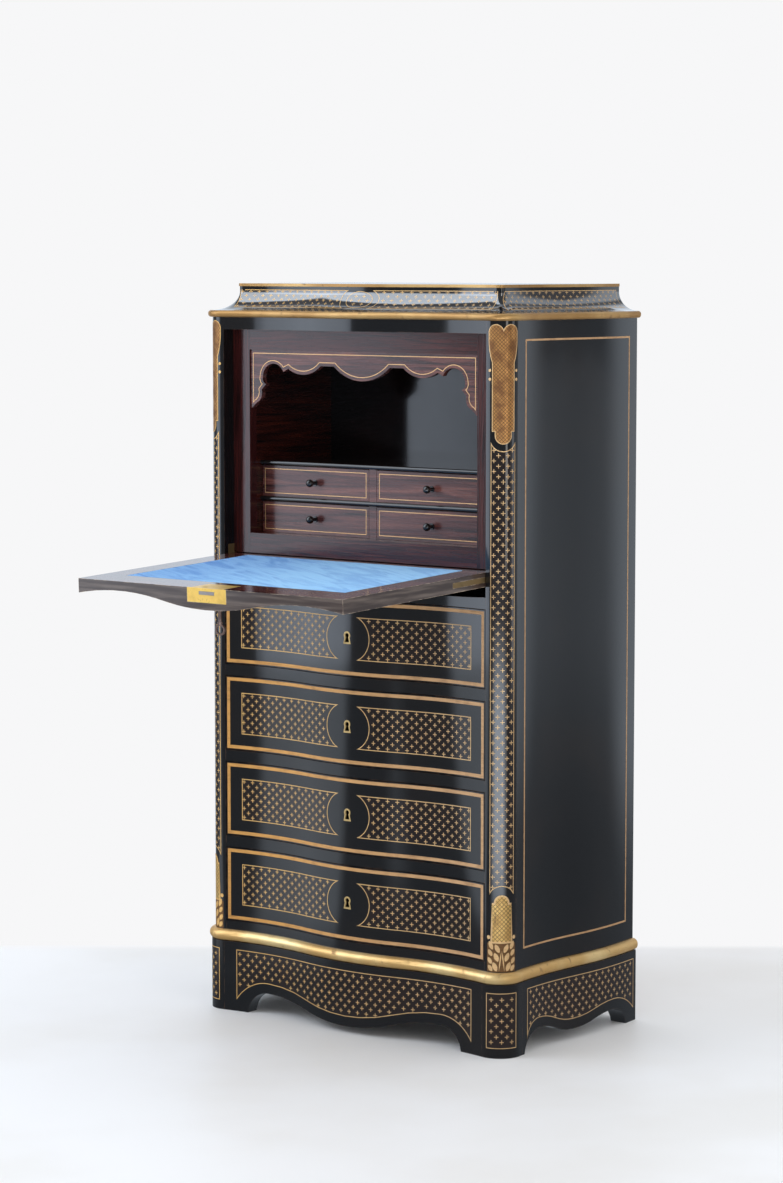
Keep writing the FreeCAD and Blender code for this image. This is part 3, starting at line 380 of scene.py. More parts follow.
@dataclass(frozen=True)
class Inlay(Finish):
    """Dull gold lines let into the lacquer, streaked and worn."""

    gold: Tone = tone(206, 150, 78)
    tan: Tone = tone(200, 158, 114)
    dark: Tone = tone(128, 86, 50)
    worn: float = 0.6

    def shade(self, sheet: NodeSheet) -> Value:
        """Shades the finish.

        Args:
            sheet: The material's node sheet.

        Returns:
            The shader.
        """
        place = sheet.place()
        streaks = sheet.noise(sheet.stretch(place, (26.0, 200.0, 420.0)), 1.0, 4.0)
        blots = sheet.noise(place, 55.0, 5.0).rise(0.45, 0.7)
        gilt = sheet.mix(self.gold, self.tan, sheet.axis(place, "X").rise(-0.25, 0.25))
        colour = sheet.mix(gilt, self.dark, (streaks.rise(0.45, 0.68) * 0.5 + blots * 0.4) * self.worn)
        return sheet.surface(
            Base_Color=colour,
            Metallic=0.4,
            Roughness=0.38 + streaks * 0.18,
            Normal=sheet.bump(streaks, 0.0001),
        )


@dataclass(frozen=True)
class Rosewood(Finish):
    """French-polished rosewood with dark veins and fine pores."""

    grain: Grain = Grain.ACROSS
    dark: Tone = tone(34, 15, 15)
    middle: Tone = tone(76, 40, 38)
    light: Tone = tone(118, 70, 60)
    gloss: float = 0.2
    coat: float = 0.3
    framed: float | None = None

    def shade(self, sheet: NodeSheet) -> Value:
        """Shades the finish; outside the framed half width the grain stands upright.

        Args:
            sheet: The material's node sheet.

        Returns:
            The shader.
        """
        place = sheet.place()
        run = sheet.stretch(place, self.grain.value)
        if self.framed is not None:
            stile = abs(sheet.axis(place, "X")).rise(self.framed, self.framed + 0.0002)
            upright = sheet.stretch(place, Grain.UPRIGHT.value)
            run = sheet.add("ShaderNodeMix", {"data_type": "VECTOR"}, {0: stile, 4: run, 5: upright}, 1)
        figure = sheet.noise(run, 1.0, 5.0, 1.6)
        pores = sheet.noise(sheet.stretch(run, (6.0, 6.0, 6.0)), 1.0, 2.0)
        colour = sheet.ramp(figure, (0.3, self.dark), (0.5, self.middle), (0.72, self.light))
        colour = sheet.mix(colour, self.dark, pores.rise(0.56, 0.72) * 0.5)
        rubbed = sheet.edge(0.0012) * sheet.noise(place, 60.0, 4.0).rise(0.4, 0.65)
        colour = sheet.mix(colour, self.light, rubbed * 0.5)
        return sheet.surface(
            Base_Color=colour,
            Roughness=self.gloss + pores * 0.14,
            Normal=sheet.bump(pores, 0.0001),
            Coat_Weight=self.coat,
            Coat_Roughness=0.1,
        )


@dataclass(frozen=True)
class PlainWood(Finish):
    """Brown carcass wood, planed and left bare, darker with age."""

    grain: Grain = Grain.ACROSS
    dark: Tone = tone(98, 66, 40)
    light: Tone = tone(158, 118, 76)

    def shade(self, sheet: NodeSheet) -> Value:
        """Shades the finish.

        Args:
            sheet: The material's node sheet.

        Returns:
            The shader.
        """
        place = sheet.place()
        run = sheet.stretch(place, self.grain.value)
        figure = sheet.noise(run, 0.7, 4.0, 1.2)
        fibres = sheet.noise(sheet.stretch(run, (7.0, 7.0, 7.0)), 1.0, 2.0)
        grime = sheet.noise(place, 7.0, 4.0).rise(0.4, 0.75)
        colour = sheet.mix(self.dark, self.light, figure.rise(0.3, 0.7) * 0.8 + fibres * 0.2)
        colour = sheet.mix(colour, self.dark, grime * 0.45)
        return sheet.surface(
            Base_Color=colour,
            Roughness=0.6 + fibres * 0.2,
            Normal=sheet.bump(fibres, 0.0003),
        )


@dataclass(frozen=True)
class Metal(Finish):
    """A plain metal, brushed by use and dulled in patches."""

    bright: Tone = tone(234, 190, 78)
    dull: Tone = tone(150, 110, 48)
    gloss: float = 0.24
    shine: float = 0.6

    def shade(self, sheet: NodeSheet) -> Value:
        """Shades the finish.

        Args:
            sheet: The material's node sheet.

        Returns:
            The shader.
        """
        place = sheet.place()
        dulled = sheet.noise(place, 45.0, 3.0).rise(0.45, 0.8)
        lines = sheet.noise(sheet.stretch(place, (1600.0, 240.0, 240.0)), 1.0, 2.0)
        return sheet.surface(
            Base_Color=sheet.mix(self.bright, self.dull, dulled * 0.45),
            Metallic=self.shine,
            Roughness=self.gloss + dulled * 0.25 + lines * 0.1,
            Normal=sheet.bump(lines, 0.00005),
        )


@dataclass(frozen=True)
class Velvet(Finish):
    """Short blue pile, brushed lighter and darker in soft strokes, with painted light that lightens it from
    left to right and painted shade along its tucked edges.
    """

    deep: Tone = tone(52, 126, 208)
    light: Tone = tone(154, 211, 255)
    # Painted shade: the dark blue of the shadowed gap where the velvet tucks into its recess.
    cut: Tone = tone(16, 40, 74)
    middle: float = -0.3455
    half_length: float = 0.1585
    half_width: float = 0.2380
    edge_shade_width: float = 0.0024
    slant: float = 0.5

    def shade(self, sheet: NodeSheet) -> Value:
        """Shades the finish.

        Args:
            sheet: The material's node sheet.

        Returns:
            The shader.
        """
        place = sheet.place()
        inputs = {"Vector": place, "Angle": self.slant}
        slant = sheet.add("ShaderNodeVectorRotate", {"rotation_type": "Z_AXIS"}, inputs)
        strokes = sheet.noise(sheet.stretch(slant, (8.0, 46.0, 8.0)), 1.0, 5.0, 1.2)
        # Painted light: the pile lightens from left to right across the velvet, standing in for light that
        # falls unevenly on it.
        lit = sheet.axis(place, "X").rise(-0.27, 0.1)
        pile = sheet.noise(place, 1500.0, 2.0)
        nap_and_painted_light = strokes.rise(0.3, 0.62) * 0.42 + lit * 0.5 + pile * 0.18
        colour = sheet.mix(self.deep, self.light, nap_and_painted_light)
        # Painted shade: a thin dark band along the velvet's tucked edges, broken by the pile.
        ends = abs(sheet.axis(place, "X")).rise(self.half_width - self.edge_shade_width, self.half_width)
        off_middle = abs(sheet.axis(place, "Y") - self.middle)
        sides = off_middle.rise(self.half_length - self.edge_shade_width, self.half_length)
        colour = sheet.mix(colour, self.cut, ends.larger(sides) * pile.rise(0.3, 0.6))
        return sheet.surface(
            Base_Color=colour,
            Roughness=0.92,
            Normal=sheet.bump(pile, 0.0006),
            Sheen_Weight=0.15,
            Sheen_Roughness=0.4,
        )


@dataclass(frozen=True)
class Engraved(Finish):
    """Gilt ornament, cut with a fine diagonal lattice and rubbed brown on its crown."""

    gold: Tone = tone(224, 184, 112)
    brown: Tone = tone(158, 112, 58)
    cut: Tone = tone(46, 28, 16)
    pitch: float = 0.0074
    width: float = 0.22
    wear: float = 0.5

    def shade(self, sheet: NodeSheet) -> Value:
        """Shades the finish.

        Args:
            sheet: The material's node sheet.

        Returns:
            The shader.
        """
        place = sheet.place()
        drawn = sheet.drawn()
        across = sheet.axis(drawn, "X")
        up = sheet.axis(drawn, "Y")
        first = (across + up).triangle(self.pitch).rise(self.width, self.width / 2)
        second = (across - up).triangle(self.pitch).rise(self.width, self.width / 2)
        cuts = first.larger(second)
        blots = sheet.noise(place, 60.0, 5.0).rise(0.35, 0.68)
        colour = sheet.mix(self.gold, self.brown, blots * self.wear)
        colour = sheet.mix(colour, self.cut, cuts * (1.0 - blots * 0.5))
        return sheet.surface(
            Base_Color=colour,
            Metallic=0.55,
            Roughness=0.3 + blots * 0.2,
            Normal=sheet.bump(1.0 - cuts, 0.0003),
        )


@dataclass(frozen=True)
class Sided(Finish):
    """One finish on the faces that look one way, another on the rest."""

    way: tuple[float, float, float]
    face: Finish
    rest: Finish

    def shade(self, sheet: NodeSheet) -> Value:
        """Shades the finish.

        Args:
            sheet: The material's node sheet.

        Returns:
            The shader.
        """
        normal = sheet.add("ShaderNodeTexCoord", output="Normal")
        share = sheet.dot(normal, self.way).rise(0.6, 0.7)
        return sheet.blend(self.rest.shade(sheet), self.face.shade(sheet), share)


FRONT = (0.0, -1.0, 0.0)
REAR = (0.0, 1.0, 0.0)
UP = (0.0, 0.0, 1.0)
DOWN = (0.0, 0.0, -1.0)


class Finishes:
    """The finishes of the secretary's pieces."""

    LACQUER = Lacquer("black_lacquer")
    COVE_LACQUER = replace(LACQUER, name="cove_lacquer", coat=1.0, index=2.0)
    FIELD = Lacquer("brown_lacquer", black=tone(30, 22, 20), brown=tone(44, 31, 25), wear=0.0)
    EDGE_LACQUER = Lacquer("worn_edge_lacquer", black=tone(52, 37, 30), brown=tone(124, 110, 100),
                           worn=tone(208, 188, 164), wear=1.0, gloss=0.25, clouds=(7.0, 9.0, 120.0))
    COVE_FIELD = replace(FIELD, name="brown_cove_lacquer", coat=1.0, index=2.0)
    GILDING = Gilding("rubbed_gilding")
    # Painted shade: a darker copy of the bead gilding, for the cornice bead beneath the cove and the top's
    # gilt edge.
    SHADED_GILDING = Gilding("shaded_gilding", gold=tone(166, 124, 70), pale=tone(200, 162, 104),
                           bole=tone(96, 62, 36))
    INLAY = Inlay("gilt_inlay")
    FINE_INLAY = Inlay("fine_gilt_inlay", gold=tone(228, 182, 110), tan=tone(222, 184, 132),
                       dark=tone(146, 104, 60), worn=0.4)
    LATTICE = Engraved("engraved_gilding")
    WORN_LATTICE = Engraved("worn_engraved_gilding", gold=tone(186, 134, 76), brown=tone(104, 63, 34),
                            cut=tone(56, 34, 20), pitch=0.0062, wear=0.8)
    GROUND = Inlay("gilt_ground", gold=tone(112, 76, 38), tan=tone(112, 76, 38), dark=tone(56, 36, 21))
    ROSEWOOD = Rosewood("rosewood_across")
    POLISHED = Rosewood("polished_rosewood", gloss=0.06)
    FRAME_WOOD = Rosewood("rosewood_frame", framed=0.2495, dark=tone(28, 9, 9), middle=tone(56, 20, 19),
                          light=tone(80, 34, 30), gloss=0.1, coat=0.15)
    NICHE = Rosewood("dark_rosewood", grain=Grain.DEEP, dark=tone(14, 5, 4), middle=tone(46, 14, 9),
                     light=tone(68, 24, 14))
    STRINGING = Inlay("boxwood_stringing", gold=tone(224, 178, 126), tan=tone(224, 178, 126),
                      dark=tone(160, 112, 76), worn=0.3)
    WOOD = PlainWood("plain_wood_across")
    WOOD_UPRIGHT = PlainWood("plain_wood_upright", grain=Grain.UPRIGHT)
    WOOD_DEEP = PlainWood("plain_wood_deep", grain=Grain.DEEP)
    BRASS = Metal("worn_brass", bright=tone(238, 196, 100))
    PALE_BRASS = Metal("pale_brass", bright=tone(206, 176, 118), dull=tone(120, 94, 56))
    DULL_BRASS = Metal("dull_brass", bright=tone(134, 112, 76), dull=tone(84, 66, 44), gloss=0.35)
    STEEL = Metal("old_steel", bright=tone(150, 144, 142), dull=tone(84, 70, 64), gloss=0.3)
    IRON = Metal("browned_iron", bright=tone(112, 92, 84), dull=tone(62, 44, 38), gloss=0.32)
    EBONY = Lacquer("turned_ebony", black=tone(20, 17, 17), brown=tone(30, 22, 18), wear=0.0, gloss=0.1)
    VELVET = Velvet("blue_velvet")
    # The niche's back is near black: partly its own dark finish and partly painted shade for the deep back of
    # the recess.
    DARK_AND_SHADED_BACK = Lacquer("dark_and_shaded_back", black=tone(10, 8, 10), brown=tone(26, 11, 9), wear=0.0)
    BACK_BOARD = Sided("back_board", REAR, WOOD_UPRIGHT, DARK_AND_SHADED_BACK)
    NICHE_BOARDS = Sided("niche_boards", FRONT, DARK_AND_SHADED_BACK, NICHE)
    DRAWER_FRONT = Sided("drawer_front", REAR, WOOD, LACQUER)
    SMALL_DRAWER = Sided("small_drawer", FRONT, ROSEWOOD, WOOD_DEEP)
    FALL_BOARD = Sided("fall_board", UP, POLISHED, Sided("fall_outside", DOWN, LACQUER, EDGE_LACQUER))


def dress(finish: Finish, *nodes: str) -> None:
    """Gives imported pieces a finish.

    Args:
        finish: The finish.
        nodes: The pieces' names.
    """
    for node in nodes:
        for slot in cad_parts[node].material_slots:
            slot.material = finish.material()


def surface_of(*nodes: str) -> BVHTree:
    """The surface that drawings are laid on.

    Args:
        nodes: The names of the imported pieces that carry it.

    Returns:
        Their joined surface.
    """
    joined = bmesh.new()
    for node in nodes:
        joined.from_mesh(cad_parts[node].data)
    surface = BVHTree.FromBMesh(joined)
    joined.free()
    return surface


def finished_mesh(name: str, bm: bmesh.types.BMesh, sharp: float) -> bpy.types.Mesh:
    """Makes a mesh of a bmesh, and frees the bmesh.

    Args:
        name: The mesh's name.
        bm: Its shape.
        sharp: The angle, in degrees, over which an edge looks sharp.

    Returns:
        The mesh.
    """
    mesh = bpy.data.meshes.new(name)
    bm.to_mesh(mesh)
    bm.free()
    mesh.shade_smooth()
    mesh.set_sharp_from_angle(angle=math.radians(sharp))
    return mesh


def new_piece(name: str, mesh: bpy.types.Mesh, body: str, slot: str, *finishes: Finish) -> bpy.types.Object:
    """Adds a finished mesh to the object.

    Args:
        name: The piece's name.
        mesh: Its mesh, in place.
        body: The body that it moves with.
        slot: The record's material slot; not used.
        finishes: Its finishes, in the order of the mesh's material numbers.

    Returns:
        The piece.
    """
    piece = bpy.data.objects.new(name, mesh)
    bpy.context.scene.collection.objects.link(piece)
    for finish in finishes:
        mesh.materials.append(finish.material())
    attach(piece, body)
    LOG.info("%s rides on %s, %d faces", name, body, len(mesh.polygons))
    return piece


@dataclass(frozen=True)
class Bearing:
    """A surface, and the rays along which a drawing settles on it."""

    surface: BVHTree

    def ray(self, u: float, v: float) -> tuple[Vector, Vector]:
        """A start outside the surface, and a way towards it, which each bearing finds for itself."""
        raise NotImplementedError

    def lay(self, point: Vector) -> Vector:
        """Where a point of the drawing lies.

        Args:
            point: Its u and v, and its height over the surface.

        Returns:
            Its place on the object.
        """
        place, normal, _, _ = self.surface.ray_cast(*self.ray(point.x, point.y))
        if place is None:
            raise ValueError(f"no surface under {point}")
        return place + normal * point.z


@dataclass(frozen=True)
class FlatBearing(Bearing):
    """Rays that run side by side, square to the drawing."""

    across: Vector = Vector((1.0, 0.0, 0.0))
    up: Vector = Vector((0.0, 0.0, 1.0))
    into: Vector = Vector((0.0, 1.0, 0.0))
    origin: Vector = Vector((0.0, -0.3, 0.0))

    def ray(self, u: float, v: float) -> tuple[Vector, Vector]:
        """A start outside the surface, and a way towards it, for a point of the drawing."""
        return self.origin + self.across * u + self.up * v, self.into


@dataclass(frozen=True)
class RoundBearing(Bearing):
    """Rays that run in towards an upright axis; u is measured round the arc."""

    centre: Vector = Vector((0.0, 0.0, 0.0))
    radius: float = 0.03
    middle: float = 0.0
    away: float = 0.08

    def ray(self, u: float, v: float) -> tuple[Vector, Vector]:
        """The ray that settles a point of the drawing.

        Args:
            u: The point's place across the drawing.
            v: Its place up the drawing.

        Returns:
            A start outside the surface, and a way towards it.
        """
        angle = self.middle + u / self.radius
        out = Vector((math.cos(angle), math.sin(angle), 0.0))
        start = self.centre + out * (self.radius + self.away)
        start.z = v
        return start, -out


@dataclass(frozen=True)
class CoveBearing(Bearing):
    """Rays from the line that a cove is hollowed about.

    v climbs the hollow and then the upright edge over it.
    """

    along: Vector = Vector((1.0, 0.0, 0.0))
    out: Vector = Vector((0.0, -1.0, 0.0))
    foot: float = 1.253
    reach: float = 0.041
    height: float = 0.033
    far: float = 0.6
    lift: float = 0.0004

    def ray(self, u: float, v: float) -> tuple[Vector, Vector]:
        """The ray that settles a point of the drawing.

        Args:
            u: The point's place across the drawing.
            v: Its place up the drawing.

        Returns:
            A start outside the surface, and a way towards it.
        """
        outside = self.along * u + self.out * self.far
        outside.z = self.foot + self.lift
        toe, _, _, _ = self.surface.ray_cast(outside, -self.out)
        upright = Vector(UP)
        quarter = (self.reach + self.height) * math.pi / 4
        angle = min(v / quarter, 1.0) * math.pi / 2
        start = toe + upright * (self.height + max(v - quarter, 0.0))
        towards = self.out * (-self.reach * math.sin(angle)) - upright * (self.height * math.cos(angle))
        return start, towards


class Line(NamedTuple):
    """A straight move of the pen to u, v."""

    u: float
    v: float


class Arc(NamedTuple):
    """A round move of the pen about u, v, through some degrees, anticlockwise."""

    u: float
    v: float
    degrees: float


@dataclass(frozen=True)
class Stars:
    """Small stars of four petals, in staggered rows."""

    BETWEEN: ClassVar[float] = 0.9
    BESIDE: ClassVar[float] = 0.4
    across: float = 0.0185
    up: float = 0.0159
    reach: float = 0.0037
    shoulder: float = 0.0013
    waist: float = 0.00045
    clear: float = 0.0022
    rise: float = 0.00008
    corners: int = 20

    def places(self, low: Vector, high: Vector) -> list[Vector]:
        """Where stars may stand in a box.

        Args:
            low: The box's lower left corner.
            high: Its upper right corner.

        Returns:
            The points of a staggered lattice, centred in the box.
        """
        middle = (low + high) / 2
        columns = math.ceil((high.x - low.x) / self.across)
        rows = math.ceil((high.y - low.y) / self.up)
        points = []
        for row in range(-rows, rows + 1):
            for column in range(-columns, columns + 1):
                shift = 0.5 * (row % 2)
                step = Vector(((column + shift) * self.across, row * self.up / 2, 0.0))
                points.append(middle + step)
        return points

    def draw(self, bm: bmesh.types.BMesh, place: Vector) -> None:
        """Draws one star: a disc drawn in between its petals and at their shoulders.

        Args:
            bm: The drawing.
            place: The star's middle.
        """
        centre = Vector((place.x, place.y, self.rise))
        turn = Matrix.Translation(centre) @ Matrix.Rotation(math.pi / 4, 4, "Z")
        made = bmesh.ops.create_circle(
            bm, cap_ends=True, radius=self.reach, segments=self.corners, matrix=turn
        )
        for corner in made["verts"]:
            arm = corner.co - centre
            slant = min(abs(arm.x), abs(arm.y)) / max(abs(arm.x), abs(arm.y))
            if slant > self.BETWEEN:
                corner.co = centre + arm * (self.waist / self.reach)
            elif slant > self.BESIDE:
                corner.co = centre + arm * (self.shoulder / self.reach)


class Drawing:
    """Flat inlay shapes, which are then given a thickness and laid on the object."""

    MAP = "drawing"
    LINE = 0
    FIELD = 1
    OVAL_CORNERS = 40
    SHARP = 35.0
    ABOVE = 0.1
    ARC_STEP = math.radians(6.0)
    TOUCH = 1e-6

    def __init__(self) -> None:
        """Starts an empty drawing."""
        self.bm = bmesh.new()

    def trace(self, start: Line, moves: Sequence[Union[Line, Arc]]) -> bmesh.types.BMesh:
        """A flat face inside a closed outline.

        Args:
            start: Where the pen starts, and ends.
            moves: Its lines and arcs.

        Returns:
            A bmesh with that one face.
        """
        flat = bmesh.new()
        tip = flat.verts.new((start.u, start.v, 0.0))
        for move in moves:
            if isinstance(move, Line):
                made = bmesh.ops.extrude_vert_indiv(flat, verts=[tip])
                tip = made["verts"][0]
                tip.co = (move.u, move.v, 0.0)
            else:
                turn = math.radians(move.degrees)
                made = bmesh.ops.spin(
                    flat,
                    geom=[tip],
                    cent=(move.u, move.v, 0.0),
                    axis=(0.0, 0.0, 1.0),
                    angle=turn,
                    steps=max(2, math.ceil(abs(turn) / self.ARC_STEP)),
                )
                tip = next(part for part in made["geom_last"] if isinstance(part, bmesh.types.BMVert))
        bmesh.ops.remove_doubles(flat, verts=flat.verts[:], dist=self.TOUCH)
        bmesh.ops.contextual_create(flat, geom=flat.edges[:])
        return self.face_up(flat)

    def oval(self, centre: Line, half_width: float, half_height: float) -> bmesh.types.BMesh:
        """A flat oval face.

        Args:
            centre: Its middle.
            half_width: Half its width.
            half_height: Half its height.

        Returns:
            A bmesh with that one face.
        """
        flat = bmesh.new()
        bmesh.ops.create_circle(flat, cap_ends=True, radius=1.0, segments=self.OVAL_CORNERS)
        bmesh.ops.scale(flat, vec=(half_width, half_height, 1.0), verts=flat.verts[:])
        bmesh.ops.translate(flat, vec=(centre.u, centre.v, 0.0), verts=flat.verts[:])
        return self.face_up(flat)

    def face_up(self, flat: bmesh.types.BMesh) -> bmesh.types.BMesh:
        """Turns a flat shape's faces upwards.

        Args:
            flat: The shape.

        Returns:
            The same shape.
        """
        flat.normal_update()
        fallen = [face for face in flat.faces if face.normal.z < 0]
        bmesh.ops.reverse_faces(flat, faces=fallen)
        return flat

    def slice(self, flat: bmesh.types.BMesh, axis: int, step: float) -> None:
        """Cuts a flat shape into strips, so that it can bend.

        Args:
            flat: The shape.
            axis: 0 for cuts along u, 1 for cuts along v.
            step: The widest strip.
        """
        places = [corner.co[axis] for corner in flat.verts]
        count = math.ceil((max(places) - min(places)) / step)
        square = Vector((float(axis == 0), float(axis == 1), 0.0))
        for cut in range(1, count):
            place = min(places) + (max(places) - min(places)) * cut / count
            geometry = flat.verts[:] + flat.edges[:] + flat.faces[:]
            bmesh.ops.bisect_plane(
                flat, geom=geometry, dist=self.TOUCH / 10, plane_co=square * place, plane_no=square
            )

    def panel(
        self,
        flat: bmesh.types.BMesh,
        line: float,
        step: Sequence[float],
        stars: Stars | None = None,
        filled: bool = True,
    ) -> None:
        """Draws a panel edged with a line.

        Args:
            flat: Its flat shape.
            line: The width of the line, inside the shape's outline.
            step: The widest strip across and up that still follows the surface.
            stars: The stars that its field holds, if it has any.
            filled: Whether the field itself is drawn.
        """
        for axis in (0, 1):
            self.slice(flat, axis, step[axis])
        edging = set(bmesh.ops.inset_region(
            flat, faces=flat.faces[:], use_boundary=True, use_even_offset=True, thickness=line
        )["faces"])
        inside = [face for face in flat.faces if face not in edging]
        for face in inside:
            face.material_index = self.FIELD
        if stars is not None:
            self.scatter(inside, stars)
        if not filled:
            bmesh.ops.delete(flat, geom=inside, context="FACES")
        self.join(flat)

    def rectangle(self, low: Line, high: Line, line: float, step: Sequence[float]) -> None:
        """Draws a line along the inside of a box's edge, with nothing in it."""
        self.panel(self.trace(low, box_moves(low, high)), line, step, filled=False)

    def patch(self, flat: bmesh.types.BMesh, step: Sequence[float], rise: float, finish: int = LINE) -> None:
        """Draws a plain shape.

        Args:
            flat: The shape.
            step: The widest strip across and up that still follows the surface.
            rise: How much higher than the rest it lies.
            finish: Which of the drawing's finishes it takes.
        """
        for axis in (0, 1):
            self.slice(flat, axis, step[axis])
        for face in flat.faces:
            face.material_index = finish
        bmesh.ops.translate(flat, vec=(0.0, 0.0, rise), verts=flat.verts[:])
        self.join(flat)

    def scatter(self, faces: Sequence[bmesh.types.BMFace], stars: Stars) -> None:
        """Draws stars wherever a whole one lies clear inside some faces.

        Args:
            faces: The faces of a flat shape.
            stars: The stars.
        """
        corners = [corner.co.copy() for face in faces for corner in face.verts]
        low = Vector((min(c.x for c in corners), min(c.y for c in corners), 0.0))
        high = Vector((max(c.x for c in corners), max(c.y for c in corners), 0.0))
        polygons = []
        first = 0
        for face in faces:
            polygons.append(range(first, first + len(face.verts)))
            first += len(face.verts)
        ground = BVHTree.FromPolygons(corners, polygons)
        arms = (Vector((1, 0, 0)), Vector((-1, 0, 0)), Vector((0, 1, 0)), Vector((0, -1, 0)))
        above = Vector((0.0, 0.0, self.ABOVE))
        for place in stars.places(low, high):
            tips = [place + arm * stars.clear + above for arm in arms]
            if all(ground.ray_cast(tip, -above)[0] is not None for tip in tips):
                stars.draw(self.bm, place)

    def join(self, flat: bmesh.types.BMesh) -> None:
        """Adds a flat shape to the drawing, and frees it.

        Args:
            flat: The shape.
        """
        mesh = bpy.data.meshes.new("flat_shape")
        flat.to_mesh(mesh)
        flat.free()
        self.bm.from_mesh(mesh)
        bpy.data.meshes.remove(mesh)

    def mirror(self) -> None:
        """Adds the drawing's mirror image on the other side of u = 0."""
        copy = self.bm.copy()
        bmesh.ops.scale(copy, vec=(-1.0, 1.0, 1.0), verts=copy.verts[:])
        bmesh.ops.reverse_faces(copy, faces=copy.faces[:])
        self.join(copy)

    def lay(
        self,
        name: str,
        bearing: Bearing,
        body: str,
        slot: str,
        finishes: Sequence[Finish],
        depth: float = 0.0004,
    ) -> bpy.types.Object:
        """Gives the drawing its thickness and lays it on the object.

        Args:
            name: The new piece's name.
            bearing: What it is laid on.
            body: The body that it moves with.
            slot: The record's material slot; not used.
            finishes: The finishes of its lines and of its fields.
            depth: How thick it is; a third of it stands proud of the surface.

        Returns:
            The new piece.
        """
        drawn = self.bm.loops.layers.uv.new(self.MAP)
        bmesh.ops.solidify(self.bm, geom=self.bm.faces[:], thickness=depth)
        lowest = min(corner.co.z for corner in self.bm.verts)
        for face in self.bm.faces:
            for loop in face.loops:
                loop[drawn].uv = loop.vert.co.xy
        for corner in self.bm.verts:
            corner.co.z += depth / 3 - depth - lowest
            corner.co = bearing.lay(corner.co)
        bmesh.ops.recalc_face_normals(self.bm, faces=self.bm.faces[:])
        mesh = finished_mesh(name, self.bm, self.SHARP)
        return new_piece(name, mesh, body, slot, *finishes)


def box_moves(low: Line, high: Line) -> list[Line]:
    """The moves of a box's outline from its low corner, anticlockwise."""
    return [Line(high.u, low.v), high, Line(low.u, high.v), low]


def bow(first: Line, last: Line, rise: float) -> Arc:
    """The arc between two points.

    Args:
        first: Where it starts.
        last: Where it ends.
        rise: How far it stands off its chord, to the right, or to the left if negative.

    Returns:
        The arc.
    """
    chord = Vector((last.u - first.u, last.v - first.v))
    half = chord.length / 2
    height = abs(rise)
    radius = (half * half + height * height) / (2 * height)
    side = math.copysign(1.0, rise)
    left = Vector((-chord.y, chord.x)).normalized() * side
    centre = Vector((first.u + last.u, first.v + last.v)) / 2 + left * (radius - height)
    turn = 2 * math.atan2(half, radius - height)
    return Arc(centre.x, centre.y, math.degrees(turn) * side)


class Bend(NamedTuple):
    """A move of the pen to u, v along an arc that stands off its chord by a rise, or straight without one."""

    u: float
    v: float
    rise: float = 0.0


def mirrored_moves(half: Sequence[Bend]) -> list[Union[Line, Arc]]:
    """The moves of an outline that is the same on both sides of u = 0.

    Args:
        half: The bends of its right half, where the pen starts.

    Returns:
        The moves, back to the start.
    """
    rises = [bend.rise for bend in half]
    points = [Line(bend.u, bend.v) for bend in half]
    points += [Line(-point.u, point.v) for point in reversed(points)]
    rises = rises[1:] + [0.0] + rises[:0:-1] + rises[:1]
    moves = []
    for first, last, rise in zip(points, points[1:] + points[:1], rises):
        moves.append(bow(first, last, rise) if rise else last)
    return moves


def level_arc(level: Line, other: Line) -> Arc:
    """The arc between two points that is level at one of them, for a pen that moves to the right.

    Args:
        level: The point where it is level.
        other: The other point.

    Returns:
        The arc.
    """
    across = abs(other.u - level.u)
    climb = other.v - level.v
    radius = (across * across + climb * climb) / (2 * abs(climb))
    turn = math.atan2(across, radius - abs(climb))
    return Arc(level.u, level.v + math.copysign(radius, climb), math.degrees(math.copysign(turn, climb)))


def apron_moves(stations: Sequence[Line]) -> list[Union[Line, Arc]]:
    """The lower edge of an apron.

    Args:
        stations: A foot, the arches and drops, which are each level, and the other foot.

    Returns:
        The arcs from foot to foot.
    """
    first, *level, last = stations
    moves = [level_arc(level[0], first)]
    for start, end in zip(level, level[1:]):
        middle = Line((start.u + end.u) / 2, (start.v + end.v) / 2)
        moves += [level_arc(start, middle), level_arc(end, middle)]
    return moves + [level_arc(level[-1], last)]


GILT = (Finishes.INLAY, Finishes.FIELD)
FINE_GILT = (Finishes.FINE_INLAY, Finishes.FIELD)
COVE_GILT = (Finishes.FINE_INLAY, Finishes.COVE_FIELD)
SIDES = (("left", -1.0), ("right", 1.0))
SIDE_START = 0.5
CORNER_X = 0.2973
CORNER_Y = -0.16165
DRAWERS = range(1, 5)


def side_bearing(sign: float, *nodes: str) -> FlatBearing:
    """The bearing of a drawing on one side, with u running to the back.

    Args:
        sign: -1 on the left, 1 on the right.
        nodes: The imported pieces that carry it.

    Returns:
        The bearing.
    """
    return FlatBearing(
        surface_of(*nodes),
        across=Vector((0.0, 1.0, 0.0)),
        into=Vector((-sign, 0.0, 0.0)),
        origin=Vector((sign * SIDE_START, 0.0, 0.0)),
    )


def corner_bearing(node: str, sign: float, radius: float, middle: float) -> RoundBearing:
    """The bearing of a drawing on a round corner.

    Args:
        node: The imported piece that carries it.
        sign: -1 on the left, 1 on the right.
        radius: The corner's radius.
        middle: The way to the drawing's middle on the right corner, in radians from +X.

    Returns:
        The bearing.
    """
    return RoundBearing(
        surface_of(node),
        centre=Vector((sign * CORNER_X, CORNER_Y, 0.0)),
        radius=radius,
        middle=middle if sign > 0 else math.pi - middle,
    )


